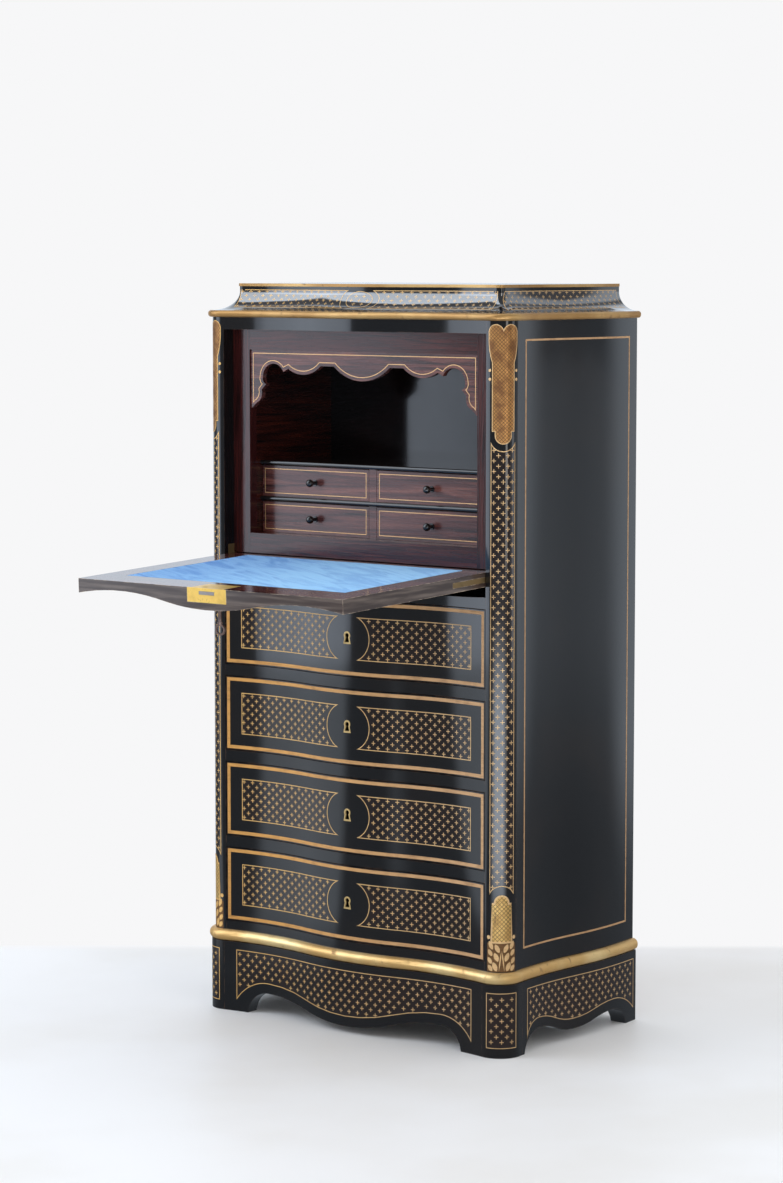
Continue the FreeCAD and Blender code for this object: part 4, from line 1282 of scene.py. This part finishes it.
@dataclass(kw_only=True)
class GiltFront:
    """What the long drawers and the fall share: a gilt border, with panels of stars inside it."""

    border_inset: float = 0.002
    border_width: float = 0.006
    panel_end: float = 0.254
    panel_inset: float = 0.0285
    bite: float = 0.046
    line: float = 0.0013
    step: tuple[float, float] = (0.012, 1.0)
    stars: Stars = field(default_factory=Stars)

    def lay_border(self, body: str, bearing: Bearing, corner: Line, opposite: Line) -> None:
        """Lays the gilt border.

        Args:
            body: The body that it moves with, and the start of its name.
            bearing: What it is laid on.
            corner: Its lower left corner.
            opposite: Its upper right corner.
        """
        border = Drawing()
        border.rectangle(corner, opposite, self.border_width, self.step)
        border.lay(f"{body}_border", bearing, body, "gilt", GILT)


@dataclass
class LongDrawer(GiltFront):
    """One of the four long drawers, with its gilt border and its two panels of stars."""

    number: int
    panel_tip: float = 0.020

    @property
    def name(self) -> str:
        """The drawer's body, and the start of its pieces' names."""
        return f"drawer_{self.number}"

    def dress(self) -> None:
        """Gives the drawer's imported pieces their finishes."""
        dress(Finishes.DRAWER_FRONT, f"{self.name}_front")
        dress(Finishes.WOOD_DEEP, f"{self.name}_box")
        dress(Finishes.PALE_BRASS, f"{self.name}_lock")
        dress(Finishes.STEEL, f"{self.name}_bolt")

    def build(self) -> None:
        """Lays the border and the panels on the front."""
        low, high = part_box(f"{self.name}_front")
        bearing = FlatBearing(surface_of(f"{self.name}_front"))
        corner = Line(low.x + self.border_inset, low.z + self.border_inset)
        opposite = Line(high.x - self.border_inset, high.z - self.border_inset)
        self.lay_border(self.name, bearing, corner, opposite)
        panels = Drawing()
        foot = Line(self.panel_tip, low.z + self.panel_inset)
        head = Line(self.panel_tip, high.z - self.panel_inset)
        hollow = bow(head, foot, self.panel_tip - self.bite)
        flat = panels.trace(foot, [Line(self.panel_end, foot.v), Line(self.panel_end, head.v), head, hollow])
        panels.panel(flat, self.line, self.step, self.stars)
        panels.mirror()
        panels.lay(f"{self.name}_panels", bearing, self.name, "gilt", FINE_GILT)


@dataclass
class Carcass:
    """The sides, rails and boards, with the gilt lines on the sides."""

    side_front: float = -0.1345
    side_back: float = 0.1645
    side_bottom: float = 0.180
    side_top: float = 1.210
    side_line: float = 0.0032
    step: tuple[float, float] = (0.012, 1.0)

    def dress(self) -> None:
        """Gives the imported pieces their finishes."""
        dress(Finishes.LACQUER, "side_panel_left", "side_panel_right", "bottom_board", "drawer_rails",
              "desk_floor", "fall_top_rail")
        dress(Finishes.BACK_BOARD, "back_panel")
        dress(Finishes.WOOD_DEEP, "drawer_runners")
        dress(Finishes.DULL_BRASS, "pivot_plates", "strike_plate")

    def build(self) -> None:
        """Lays the gilt rectangles on the sides."""
        low = Line(self.side_front, self.side_bottom)
        high = Line(self.side_back, self.side_top)
        for side, sign in SIDES:
            border = Drawing()
            border.rectangle(low, high, self.side_line, self.step)
            bearing = side_bearing(sign, f"side_panel_{side}")
            border.lay(f"side_{side}_line", bearing, "carcass", "gilt", GILT)


@dataclass
class Posts:
    """The round corner posts, each with a long panel of stars between two gilt ornaments."""

    GROUND: ClassVar[int] = 2
    LEAVES: ClassVar[tuple[tuple[Line, Line, float], ...]] = (
        (Line(0.0048, 0.1480), Line(0.0006, 0.1830), 0.0011),
        (Line(0.0165, 0.1485), Line(0.0240, 0.1585), 0.0038),
        (Line(0.0085, 0.1485), Line(0.0150, 0.1640), 0.0042),
        (Line(0.0175, 0.1610), Line(0.0245, 0.1715), 0.0037),
        (Line(0.0060, 0.1650), Line(0.0125, 0.1800), 0.0040),
        (Line(0.0165, 0.1745), Line(0.0240, 0.1850), 0.0038),
        (Line(0.0040, 0.1800), Line(0.0110, 0.1945), 0.0038),
        (Line(0.0155, 0.1855), Line(0.0225, 0.1995), 0.0038),
    )
    radius: float = 0.0315
    middle: float = math.radians(-48.0)
    half: float = 0.022
    line: float = 0.0013
    panel_foot: float = 0.2777
    panel_head: float = 1.0408
    hollow: float = 0.0155
    step: tuple[float, float] = (0.003, 2.0)
    stars: Stars = field(default_factory=lambda: Stars(across=0.016, up=0.0175))
    crown_half: float = 0.027
    crown_top: float = 1.2345
    crown_lobe: float = 0.0125
    lobe_round: float = 0.9
    crown_shoulder: float = 1.2130
    waist_half: float = 0.020
    waist_top: float = 1.1716
    waist_foot: float = 1.0577
    waist_bow: float = 0.002
    tongue_half: float = 0.0146
    tongue_tip: float = 1.0366
    stud_heights: tuple[float, float] = (1.1590, 1.1443)
    stud_radius: float = 0.0026
    shaft_foot: float = 0.1960
    shaft_foot_half: float = 0.0200
    shaft_half: float = 0.0172
    shaft_shoulder: float = 0.2650
    arch_half: float = 0.0136
    shaft_line: float = 0.0030
    base: float = 0.1472
    base_half: float = 0.0265
    scroll: Line = Line(0.0235, 0.2060)
    scroll_radius: float = 0.0034
    leaf_rise: float = 0.00012

    def dress(self) -> None:
        """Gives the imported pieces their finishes."""
        dress(Finishes.LACQUER, "corner_post_left", "corner_post_right")

    def build(self) -> None:
        """Lays the panels and the ornaments on both posts."""
        for side, sign in SIDES:
            bearing = corner_bearing(f"corner_post_{side}", sign, self.radius, self.middle)
            self.draw_panel().lay(f"post_{side}_panel", bearing, "carcass", "gilt", FINE_GILT)
            crown = (Finishes.FINE_INLAY, Finishes.WORN_LATTICE)
            self.draw_crown().lay(f"post_{side}_crown", bearing, "carcass", "gilt", crown)
            foot = (Finishes.FINE_INLAY, Finishes.LATTICE, Finishes.GROUND)
            self.draw_foot().lay(f"post_{side}_foot", bearing, "carcass", "gilt", foot)

    def draw_panel(self) -> Drawing:
        """Draws the long panel of stars, hollow at both ends.

        Returns:
            The drawing.
        """
        panel = Drawing()
        start = Line(-self.half, self.panel_head)
        foot = Line(-self.half, self.panel_foot)
        far_foot = Line(self.half, self.panel_foot)
        far_head = Line(self.half, self.panel_head)
        moves = [foot, bow(foot, far_foot, -self.hollow), far_head, bow(far_head, start, -self.hollow)]
        panel.panel(panel.trace(start, moves), self.line, self.step, self.stars)
        return panel

    def draw_crown(self) -> Drawing:
        """Draws the worn ornament at the head, with two lobes, a waist, a round tongue and studs.

        Returns:
            The drawing.
        """
        crown = Drawing()
        lobe_foot = self.crown_top - self.crown_lobe
        tongue = self.tongue_tip + self.tongue_half
        start = Line(-self.tongue_half, tongue)
        waist = Line(self.waist_half, self.waist_top)
        shoulder = Line(self.crown_half, self.crown_shoulder)
        right = Line(self.crown_half, lobe_foot)
        notch = Line(0.0, lobe_foot + self.crown_lobe / 3)
        left = Line(-self.crown_half, lobe_foot)
        far_shoulder = Line(-self.crown_half, self.crown_shoulder)
        far_waist = Line(-self.waist_half, self.waist_top)
        lobe_bow = self.crown_lobe * self.lobe_round
        moves = [
            Arc(0.0, tongue, 180.0),
            Line(self.tongue_half, self.waist_foot),
            Line(self.waist_half, self.waist_foot),
            waist,
            bow(waist, shoulder, self.waist_bow),
            right,
            bow(right, notch, lobe_bow),
            bow(notch, left, lobe_bow),
            far_shoulder,
            bow(far_shoulder, far_waist, self.waist_bow),
            Line(-self.waist_half, self.waist_foot),
            Line(-self.tongue_half, self.waist_foot),
            start,
        ]
        crown.panel(crown.trace(start, moves), self.line, self.step)
        for height in self.stud_heights:
            for _, sign in SIDES:
                place = Line(sign * (self.crown_half - self.stud_radius), height)
                crown.patch(crown.oval(place, self.stud_radius, self.stud_radius), self.step, 0.0)
        return crown

    def draw_foot(self) -> Drawing:
        """Draws the engraved ornament at the foot: an arched shaft that rises from scrolls and leaves.

        Returns:
            The drawing.
        """
        foot = Drawing()
        start = Line(-self.shaft_foot_half, self.shaft_foot)
        shoulder = Line(self.shaft_half, self.shaft_shoulder)
        arch = Line(self.arch_half, self.shaft_shoulder)
        moves = [
            Line(self.shaft_foot_half, self.shaft_foot),
            shoulder,
            arch,
            Arc(0.0, self.shaft_shoulder, 180.0),
            Line(-self.shaft_half, self.shaft_shoulder),
            start,
        ]
        foot.panel(foot.trace(start, moves), self.shaft_line, self.step)
        for _, sign in SIDES:
            scroll = Line(sign * self.scroll.u, self.scroll.v)
            foot.patch(foot.oval(scroll, self.scroll_radius, self.scroll_radius), self.step, 0.0)
        start = Line(-self.base_half, self.base)
        ground = foot.trace(start, box_moves(start, Line(self.base_half, self.shaft_foot)))
        foot.patch(ground, self.step, 0.0, self.GROUND)
        for root, tip, belly in self.LEAVES:
            for _, sign in SIDES:
                low = Line(sign * root.u, root.v)
                high = Line(sign * tip.u, tip.v)
                leaf = foot.trace(low, [bow(low, high, belly), bow(high, low, belly)])
                foot.patch(leaf, self.step, self.leaf_rise)
        return foot


@dataclass
class Plinth:
    """The scalloped plinth under its gilt bead, with a panel of stars on each board."""

    top: float = 0.112
    line: float = 0.0012
    front_apron: tuple[Line, ...] = (
        Line(-0.262, 0.021),
        Line(-0.193, 0.0575),
        Line(0.0, 0.0305),
        Line(0.193, 0.0575),
        Line(0.262, 0.021),
    )
    side_apron: tuple[Line, ...] = (
        Line(-0.1315, 0.0235),
        Line(-0.0945, 0.0552),
        Line(-0.0015, 0.0365),
        Line(0.1135, 0.0515),
        Line(0.182, 0.023),
    )
    corner_radius: float = 0.0385
    corner_half: float = 0.0279
    corner_foot: float = 0.017
    corner_middle: float = math.radians(-48.5)
    step: tuple[float, float] = (0.012, 1.0)
    corner_step: tuple[float, float] = (0.0035, 1.0)
    stars: Stars = field(default_factory=lambda: Stars(across=0.0182, up=0.0182))

    def dress(self) -> None:
        """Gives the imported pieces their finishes."""
        dress(Finishes.LACQUER, "plinth_front", "plinth_corners", "plinth_sides")
        dress(Finishes.WOOD, "plinth_back")
        dress(Finishes.GILDING, "plinth_bead")

    def build(self) -> None:
        """Lays the panels on the front, the sides and the corners."""
        front = self.draw_panel(self.front_apron)
        front.lay("plinth_front_panel", FlatBearing(surface_of("plinth_front")), "carcass", "gilt", FINE_GILT)
        for side, sign in SIDES:
            panel = self.draw_panel(self.side_apron)
            bearing = side_bearing(sign, "plinth_sides")
            panel.lay(f"plinth_{side}_panel", bearing, "carcass", "gilt", FINE_GILT)
            self.build_corner(side, sign)

    def draw_panel(self, apron: Sequence[Line]) -> Drawing:
        """Draws a panel of stars, level at the top and shaped like the apron below.

        Args:
            apron: The stations of its lower edge.

        Returns:
            The drawing.
        """
        panel = Drawing()
        moves = apron_moves(apron) + [Line(apron[-1].u, self.top), Line(apron[0].u, self.top), apron[0]]
        panel.panel(panel.trace(apron[0], moves), self.line, self.step, self.stars)
        return panel

    def build_corner(self, side: str, sign: float) -> None:
        """Lays the panel on a round corner block.

        Args:
            side: The block's side, left or right.
            sign: -1 on the left, 1 on the right.
        """
        bearing = corner_bearing("plinth_corners", sign, self.corner_radius, self.corner_middle)
        low = Line(-self.corner_half, self.corner_foot)
        high = Line(self.corner_half, self.top)
        panel = Drawing()
        panel.panel(panel.trace(low, box_moves(low, high)), self.line, self.corner_step, self.stars)
        panel.lay(f"plinth_corner_{side}_panel", bearing, "carcass", "gilt", FINE_GILT)


@dataclass
class Cornice:
    """The hollow cornice between its gilt bead and the gilt edge of the top."""

    slope_foot: float = 0.0165
    slope_head: float = 0.0610
    front_foot_end: float = 0.2820
    front_head_end: float = 0.2815
    side_foot_front: float = -0.1590
    side_head_front: float = -0.1420
    side_back: float = 0.1800
    tip: float = 0.026
    hollow: float = 0.041
    oval_half: float = 0.0285
    oval_gap: float = 0.0015
    line: float = 0.0011
    step: tuple[float, float] = (0.012, 0.004)
    stars: Stars = field(default_factory=lambda: Stars(across=0.0175, up=0.0185))

    def dress(self) -> None:
        """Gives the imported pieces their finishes."""
        dress(Finishes.LACQUER, "cornice_board", "top_board")
        dress(Finishes.COVE_LACQUER, "cornice_front", "cornice_sides")
        dress(Finishes.WOOD, "cornice_back")
        dress(Finishes.SHADED_GILDING, "cornice_bead", "top_gilt_edge")

    def build(self) -> None:
        """Lays the panels of stars on the coves."""
        front = Drawing()
        foot = Line(self.tip, self.slope_foot)
        head = Line(self.tip, self.slope_head)
        moves = [
            Line(self.front_foot_end, foot.v),
            Line(self.front_head_end, head.v),
            head,
            bow(head, foot, self.tip - self.hollow),
        ]
        front.panel(front.trace(foot, moves), self.line, self.step, self.stars)
        front.mirror()
        middle = Line(0.0, (foot.v + head.v) / 2)
        oval = front.oval(middle, self.oval_half, (head.v - foot.v) / 2 - self.oval_gap)
        front.panel(oval, self.line, self.step, self.stars)
        bearing = CoveBearing(surface_of("cornice_front", "top_board"))
        front.lay("cornice_front_panel", bearing, "carcass", "gilt", COVE_GILT)
        for side, sign in SIDES:
            panel = Drawing()
            start = Line(self.side_foot_front, self.slope_foot)
            moves = [
                Line(self.side_back, start.v),
                Line(self.side_back, head.v),
                Line(self.side_head_front, head.v),
                start,
            ]
            panel.panel(panel.trace(start, moves), self.line, self.step, self.stars)
            bearing = CoveBearing(
                surface_of("cornice_sides", "top_board"),
                along=Vector((0.0, 1.0, 0.0)),
                out=Vector((sign, 0.0, 0.0)),
            )
            panel.lay(f"cornice_{side}_panel", bearing, "carcass", "gilt", COVE_GILT)


@dataclass
class Compartment:
    """The writing compartment with its valance, shelves and small drawers."""

    line: float = 0.0013
    head: float = 1.184
    valance: tuple[Bend, ...] = (
        Bend(0.0588, 0.0210, 0.0240),
        Bend(0.0935, 0.0210),
        Bend(0.1635, 0.0255, 0.0132),
        Bend(0.1755, 0.0305),
        Bend(0.2275, 0.0460, -0.0186),
        Bend(0.2225, 0.0600, -0.0026),
        Bend(0.2305, 0.0685),
        Bend(0.2405, 0.0900, 0.0045),
        Bend(0.2445, 0.0945),
        Bend(0.2445, 0.0055),
    )
    drawer_inset: float = 0.0052
    step: tuple[float, float] = (1.0, 1.0)

    def dress(self) -> None:
        """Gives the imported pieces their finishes."""
        dress(Finishes.FRAME_WOOD, "face_frame")
        dress(Finishes.ROSEWOOD, "valance", "drawer_partitions")
        dress(Finishes.NICHE_BOARDS, "compartment_boards")
        dress(Finishes.EBONY, "niche_shelves")
        for number in DRAWERS:
            dress(Finishes.SMALL_DRAWER, f"small_drawer_{number}")
            dress(Finishes.EBONY, f"small_drawer_{number}_knob")

    def build(self) -> None:
        """Lays the stringing on the valance and the small drawers."""
        string = (Finishes.STRINGING, Finishes.STRINGING)
        valance = Drawing()
        half = [Bend(bend.u, self.head - bend.v, bend.rise) for bend in self.valance]
        flat = valance.trace(Line(half[0].u, half[0].v), mirrored_moves(half))
        valance.panel(flat, self.line, self.step, filled=False)
        valance.lay("valance_stringing", FlatBearing(surface_of("valance")), "carcass", "rosewood", string)
        for number in DRAWERS:
            name = f"small_drawer_{number}"
            low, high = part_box(name)
            corner = Line(low.x + self.drawer_inset, low.z + self.drawer_inset)
            opposite = Line(high.x - self.drawer_inset, high.z - self.drawer_inset)
            drawing = Drawing()
            drawing.rectangle(corner, opposite, self.line, self.step)
            drawing.lay(f"{name}_stringing", FlatBearing(surface_of(name)), name, "rosewood", string)


@dataclass
class Fall(GiltFront):
    """The fall: its board, the blue velvet let into its inner face, and its lock and key."""

    pivot: Vector = Vector((0.0, -0.171, 0.819))
    opened: float = math.radians(92.2)
    half_width: float = 0.286
    face_foot: float = 0.7920
    head: float = 1.2180
    bay_round: float = 0.9
    velvet_half: float = 0.238
    velvet_foot: float = 0.835
    velvet_head: float = 1.152
    velvet_face: float = -0.1665
    velvet_thickness: float = 0.0010
    velvet_cells: tuple[int, int] = (150, 100)
    velvet_tuck: float = 0.0035
    velvet_tuck_depth: float = 0.0009
    velvet_ruck: float = 0.00012
    velvet_waves: float = 31.0
    velvet_sway: tuple[float, float, float] = (17.0, 9.0, 26.0)
    velvet_sharp: float = 50.0

    @property
    def turn(self) -> Matrix:
        """Carries the closed fall to its open place."""
        return (Matrix.Translation(self.pivot) @ Matrix.Rotation(self.opened, 4, "X")
                @ Matrix.Translation(-self.pivot))

    def dress(self) -> None:
        """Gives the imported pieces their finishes."""
        dress(Finishes.FALL_BOARD, "fall_board")
        dress(Finishes.BRASS, "fall_lock")
        dress(Finishes.DULL_BRASS, "fall_straps", "fall_strap_screws")
        dress(Finishes.STEEL, "fall_bolt")
        dress(Finishes.IRON, "fall_key")

    def build(self) -> None:
        """Lays the gilt lines on the outer face and the velvet on the inner one."""
        axes = self.turn.to_3x3()
        bearing = FlatBearing(
            surface_of("fall_board"),
            up=axes @ FlatBearing.up,
            into=axes @ FlatBearing.into,
            origin=self.turn @ FlatBearing.origin,
        )
        corner = Line(self.border_inset - self.half_width, self.face_foot)
        opposite = Line(self.half_width - self.border_inset, self.head - self.border_inset)
        self.lay_border("fall", bearing, corner, opposite)
        panel = Drawing()
        start = Line(-self.panel_end, self.face_foot + self.panel_inset)
        top = self.head - self.panel_inset
        near = Line(self.bite, top)
        far = Line(-self.bite, top)
        moves = [
            Line(self.panel_end, start.v),
            Line(self.panel_end, top),
            near,
            bow(near, far, -self.bite * self.bay_round),
            Line(-self.panel_end, top),
            start,
        ]
        panel.panel(panel.trace(start, moves), self.line, self.step, self.stars)
        panel.lay("fall_panel", bearing, "fall", "gilt", FINE_GILT)
        self.build_velvet()

    def build_velvet(self) -> None:
        """Lays the velvet in its recess, its edges tucked in and its pile slightly rucked."""
        width = 2 * self.velvet_half
        length = self.velvet_head - self.velvet_foot
        slow, cross, quick = self.velvet_sway
        bm = bmesh.new()
        bmesh.ops.create_grid(bm, x_segments=self.velvet_cells[0], y_segments=self.velvet_cells[1], size=0.5)
        bmesh.ops.scale(bm, vec=(width, length, 1.0), verts=bm.verts[:])
        for corner in bm.verts:
            inset = min(width / 2 - abs(corner.co.x), length / 2 - abs(corner.co.y))
            tuck = max(0.0, 1.0 - inset / self.velvet_tuck)
            sway = 2.0 * math.sin(corner.co.y * slow) + math.sin(corner.co.x * cross + corner.co.y * quick)
            ruck = self.velvet_ruck * math.sin(corner.co.x * self.velvet_waves + sway) * (1.0 - tuck)
            corner.co.z = ruck - self.velvet_tuck_depth * tuck * tuck
        bmesh.ops.solidify(bm, geom=bm.faces[:], thickness=self.velvet_thickness)
        bmesh.ops.recalc_face_normals(bm, faces=bm.faces[:])
        middle = Vector((0.0, self.velvet_face, (self.velvet_foot + self.velvet_head) / 2))
        stand = Matrix.Translation(middle) @ Matrix.Rotation(-math.pi / 2, 4, "X")
        bmesh.ops.transform(bm, matrix=self.turn @ stand, verts=bm.verts[:])
        mesh = finished_mesh("writing_velvet", bm, self.velvet_sharp)
        velvet = new_piece("writing_velvet", mesh, "fall", "velvet", Finishes.VELVET)
        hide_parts("fall_velvet")


class Lamp(NamedTuple):
    """A soft lamp; one that is not mirrored leaves no highlight on gloss."""

    name: str
    place: Vector
    size: tuple[float, float]
    power: float
    colour: Tone
    mirrored: bool = True


class Sector(NamedTuple):
    """A part of the mirrored room: its ends in degrees to the left, their softness and its level."""

    first: float
    last: float
    soft: float
    level: float


@dataclass
class Studio:
    """A pale floor that meets a white room, soft lamps, and the camera."""

    LAMPS: ClassVar[tuple[Lamp, ...]] = (
        Lamp("window_left", Vector((-3.45, -2.9, 1.25)), (2.4, 2.3), 24.0, tone(224, 236, 255)),
        Lamp("window_high", Vector((-2.4, -3.1, 3.3)), (2.8, 1.8), 70.0, tone(224, 236, 255), mirrored=False),
        Lamp("window_right", Vector((3.6, -1.5, 1.6)), (0.7, 2.2), 16.0, tone(255, 250, 242)),
        Lamp("wall_right", Vector((4.2, 1.35, 1.3)), (1.2, 2.4), 11.0, tone(248, 250, 255)),
    )
    camera_place: Vector = Vector((3.5158, -4.5788, 1.3393))
    camera_turn: tuple[float, float, float] = (84.2436, 0.0, 38.0)
    lens: float = 99.78
    lamp_aim: float = 1.6
    floor_half: float = 30.0
    floor_pale: Tone = tone(245, 244, 243)
    floor_stain: Tone = tone(230, 226, 219)
    wall: Tone = tone(247, 247, 248)
    wall_depth: tuple[float, float] = (0.53, 0.58)
    wall_reach: tuple[float, float] = (1.7, 2.6)
    dome: float = 0.96
    dome_pale: Tone = tone(250, 252, 255)
    daylight: tuple[float, float, float] = (0.9, 1.0, 1.12)
    mirrored_dim: float = 0.22
    mirrored_wall: float = 0.5
    white: Sector = Sector(98.0, 179.0, 0.3, 0.95)
    back: Sector = Sector(-178.0, -141.0, 0.2, 0.85)
    window: Sector = Sector(35.0, 66.0, 0.1, 1.0)
    sun: Sector = Sector(-80.0, 18.0, 0.55, 5.0)
    sky: Sector = Sector(5.0, 75.0, 0.15, 3.0)
    sky_foot: tuple[float, float] = (0.04, 0.16)
    behind_depth: tuple[float, float] = (-0.5, 1.0)
    behind_reach: tuple[float, float] = (1.5, 7.0)
    back_reach: tuple[float, float] = (1.0, 4.0)
    window_reach: tuple[float, float] = (0.5, 1.3)
    sun_near: tuple[float, float] = (1.0, 2.4)
    sun_far: tuple[float, float] = (7.0, 4.5)

    def build(self) -> None:
        """Builds the camera, the floor, the world and the lamps."""
        self.build_camera()
        self.build_floor()
        self.build_world()
        for lamp in self.LAMPS:
            self.add_lamp(lamp)

    def build_camera(self) -> None:
        """Puts the camera at the photograph's place."""
        data = bpy.data.cameras.new("camera")
        data.lens = self.lens
        camera = bpy.data.objects.new("camera", data)
        camera.location = self.camera_place
        camera.rotation_euler = [math.radians(angle) for angle in self.camera_turn]
        bpy.context.scene.collection.objects.link(camera)
        bpy.context.scene.camera = camera

    def add_lamp(self, lamp: Lamp) -> None:
        """Adds a soft lamp that faces the secretary and that only its light shows.

        Args:
            lamp: The lamp's place, size and light.
        """
        data = bpy.data.lights.new(lamp.name, "AREA")
        data.shape = "RECTANGLE"
        data.size, data.size_y = lamp.size
        data.energy = lamp.power
        data.color = lamp.colour[:3]
        made = bpy.data.objects.new(lamp.name, data)
        made.location = lamp.place
        facing = Vector((0.0, 0.0, min(lamp.place.z, self.lamp_aim))) - lamp.place
        made.rotation_euler = facing.to_track_quat("-Z", "Y").to_euler()
        made.visible_camera = False
        made.visible_glossy = lamp.mirrored
        bpy.context.scene.collection.objects.link(made)

    def seen(self, sheet: NodeSheet) -> Value:
        """1 for what the camera sees, straight or through glass, and 0 for light."""
        return sheet.path("Is Camera Ray").larger(sheet.path("Is Transmission Ray"))

    def build_floor(self) -> None:
        """Lays a pale floor whose far part looks like a white wall."""
        bm = bmesh.new()
        bmesh.ops.create_grid(bm, x_segments=2, y_segments=2, size=self.floor_half)
        mesh = bpy.data.meshes.new("floor")
        bm.to_mesh(mesh)
        bm.free()
        floor = bpy.data.objects.new("floor", mesh)
        bpy.context.scene.collection.objects.link(floor)
        made = bpy.data.materials.new("pale_floor")
        made.use_nodes = True
        sheet = NodeSheet(made.node_tree)
        place = sheet.place()
        turn = math.radians(self.camera_turn[2])
        depth = sheet.axis(place, "Y") * math.cos(turn) - sheet.axis(place, "X") * math.sin(turn)
        far = depth.rise(*self.wall_depth).larger(sheet.length(place).rise(*self.wall_reach))
        clouds = sheet.noise(place, 1.6, 4.0)
        colour = sheet.mix(self.floor_pale, self.floor_stain, clouds.rise(0.4, 0.7) * 0.5)
        matt = sheet.surface(Base_Color=colour, Roughness=0.5)
        glow = sheet.add("ShaderNodeEmission", None, {"Color": self.wall, "Strength": 1.0})
        shader = sheet.blend(matt, glow, far * self.seen(sheet))
        shader = sheet.blend(shader, self.mirrored_floor(sheet, place), sheet.path("Is Glossy Ray"))
        sheet.add("ShaderNodeOutputMaterial", None, {"Surface": shader})
        mesh.materials.append(made)

    def light_of(self, level: float) -> Tone:
        """Daylight of that level."""
        return (level * self.daylight[0], level * self.daylight[1], level * self.daylight[2], 1.0)

    def leftward(self, sheet: NodeSheet, way: Value) -> Value:
        """How far to the left of straight ahead a way from the secretary points, in radians."""
        across = sheet.axis(way, "X")
        return across.maths("ARCTAN2", -across, -sheet.axis(way, "Y"))

    def lit(self, sheet: NodeSheet, colour: Input, left: Value, sector: Sector, share: Input = 1.0) -> Value:
        """Lays the light of a sector over a colour.

        Args:
            sheet: The node sheet.
            colour: The colour outside the sector.
            left: How far to the left the point lies, as leftward gives it.
            sector: The sector.
            share: How much of its light shows.

        Returns:
            The colour.
        """
        low = math.radians(sector.first)
        high = math.radians(sector.last)
        inside = left.rise(low, low + sector.soft) * left.rise(high, high - sector.soft)
        return sheet.mix(colour, self.light_of(sector.level), inside * share)

    def mirrored_floor(self, sheet: NodeSheet, place: Value) -> Value:
        """The floor that the lacquer reflects: dim, bright by the left window, sunlit on the right.

        Args:
            sheet: The floor's node sheet.
            place: The point's place on the floor.

        Returns:
            The shader.
        """
        left = self.leftward(sheet, place)
        away = sheet.length(place)
        behind = sheet.axis(place, "Y").rise(*self.behind_depth) * away.rise(*self.behind_reach)
        colour = sheet.mix(self.light_of(self.mirrored_dim), self.light_of(self.mirrored_wall), behind)
        colour = self.lit(sheet, colour, left, self.white)
        colour = self.lit(sheet, colour, left, self.back, away.rise(*self.back_reach))
        colour = self.lit(sheet, colour, left, self.window, away.rise(*self.window_reach))
        colour = self.lit(sheet, colour, left, self.sun, away.rise(*self.sun_near) * away.rise(*self.sun_far))
        return sheet.add("ShaderNodeEmission", None, {"Color": colour, "Strength": 1.0})

    def build_world(self) -> None:
        """Makes a soft white room that the camera sees as the wall's colour."""
        world = bpy.data.worlds.new("white_room")
        bpy.context.scene.world = world
        world.use_nodes = True
        sheet = NodeSheet(world.node_tree)
        light = sheet.add("ShaderNodeBackground", None, {"Color": self.dome_pale, "Strength": self.dome})
        way = sheet.place()
        left = self.leftward(sheet, way)
        colour = self.lit(sheet, self.light_of(self.mirrored_dim), left, self.white)
        colour = self.lit(sheet, colour, left, self.back)
        colour = self.lit(sheet, colour, left, self.window)
        colour = self.lit(sheet, colour, left, self.sky, sheet.axis(way, "Z").rise(*self.sky_foot))
        mirrored = sheet.add("ShaderNodeBackground", None, {"Color": colour, "Strength": 1.0})
        wall = sheet.add("ShaderNodeBackground", None, {"Color": self.wall, "Strength": 1.0})
        light = sheet.blend(light, mirrored, sheet.path("Is Glossy Ray"))
        shader = sheet.blend(light, wall, self.seen(sheet))
        sheet.add("ShaderNodeOutputWorld", None, {"Surface": shader})


def main() -> None:
    """Builds and dresses the secretary, then its studio."""
    logging.basicConfig(level=logging.INFO, format="%(name)s: %(message)s")
    bpy.context.scene.view_settings.view_transform = "Standard"
    assemblies = [Carcass(), Posts(), Plinth(), Cornice(), Compartment(), Fall()]
    assemblies += [LongDrawer(number) for number in DRAWERS]
    for assembly in assemblies:
        assembly.dress()
        assembly.build()
        LOG.info("%s is dressed", type(assembly).__name__)
    Studio().build()


if __name__ == "__main__":
    main()
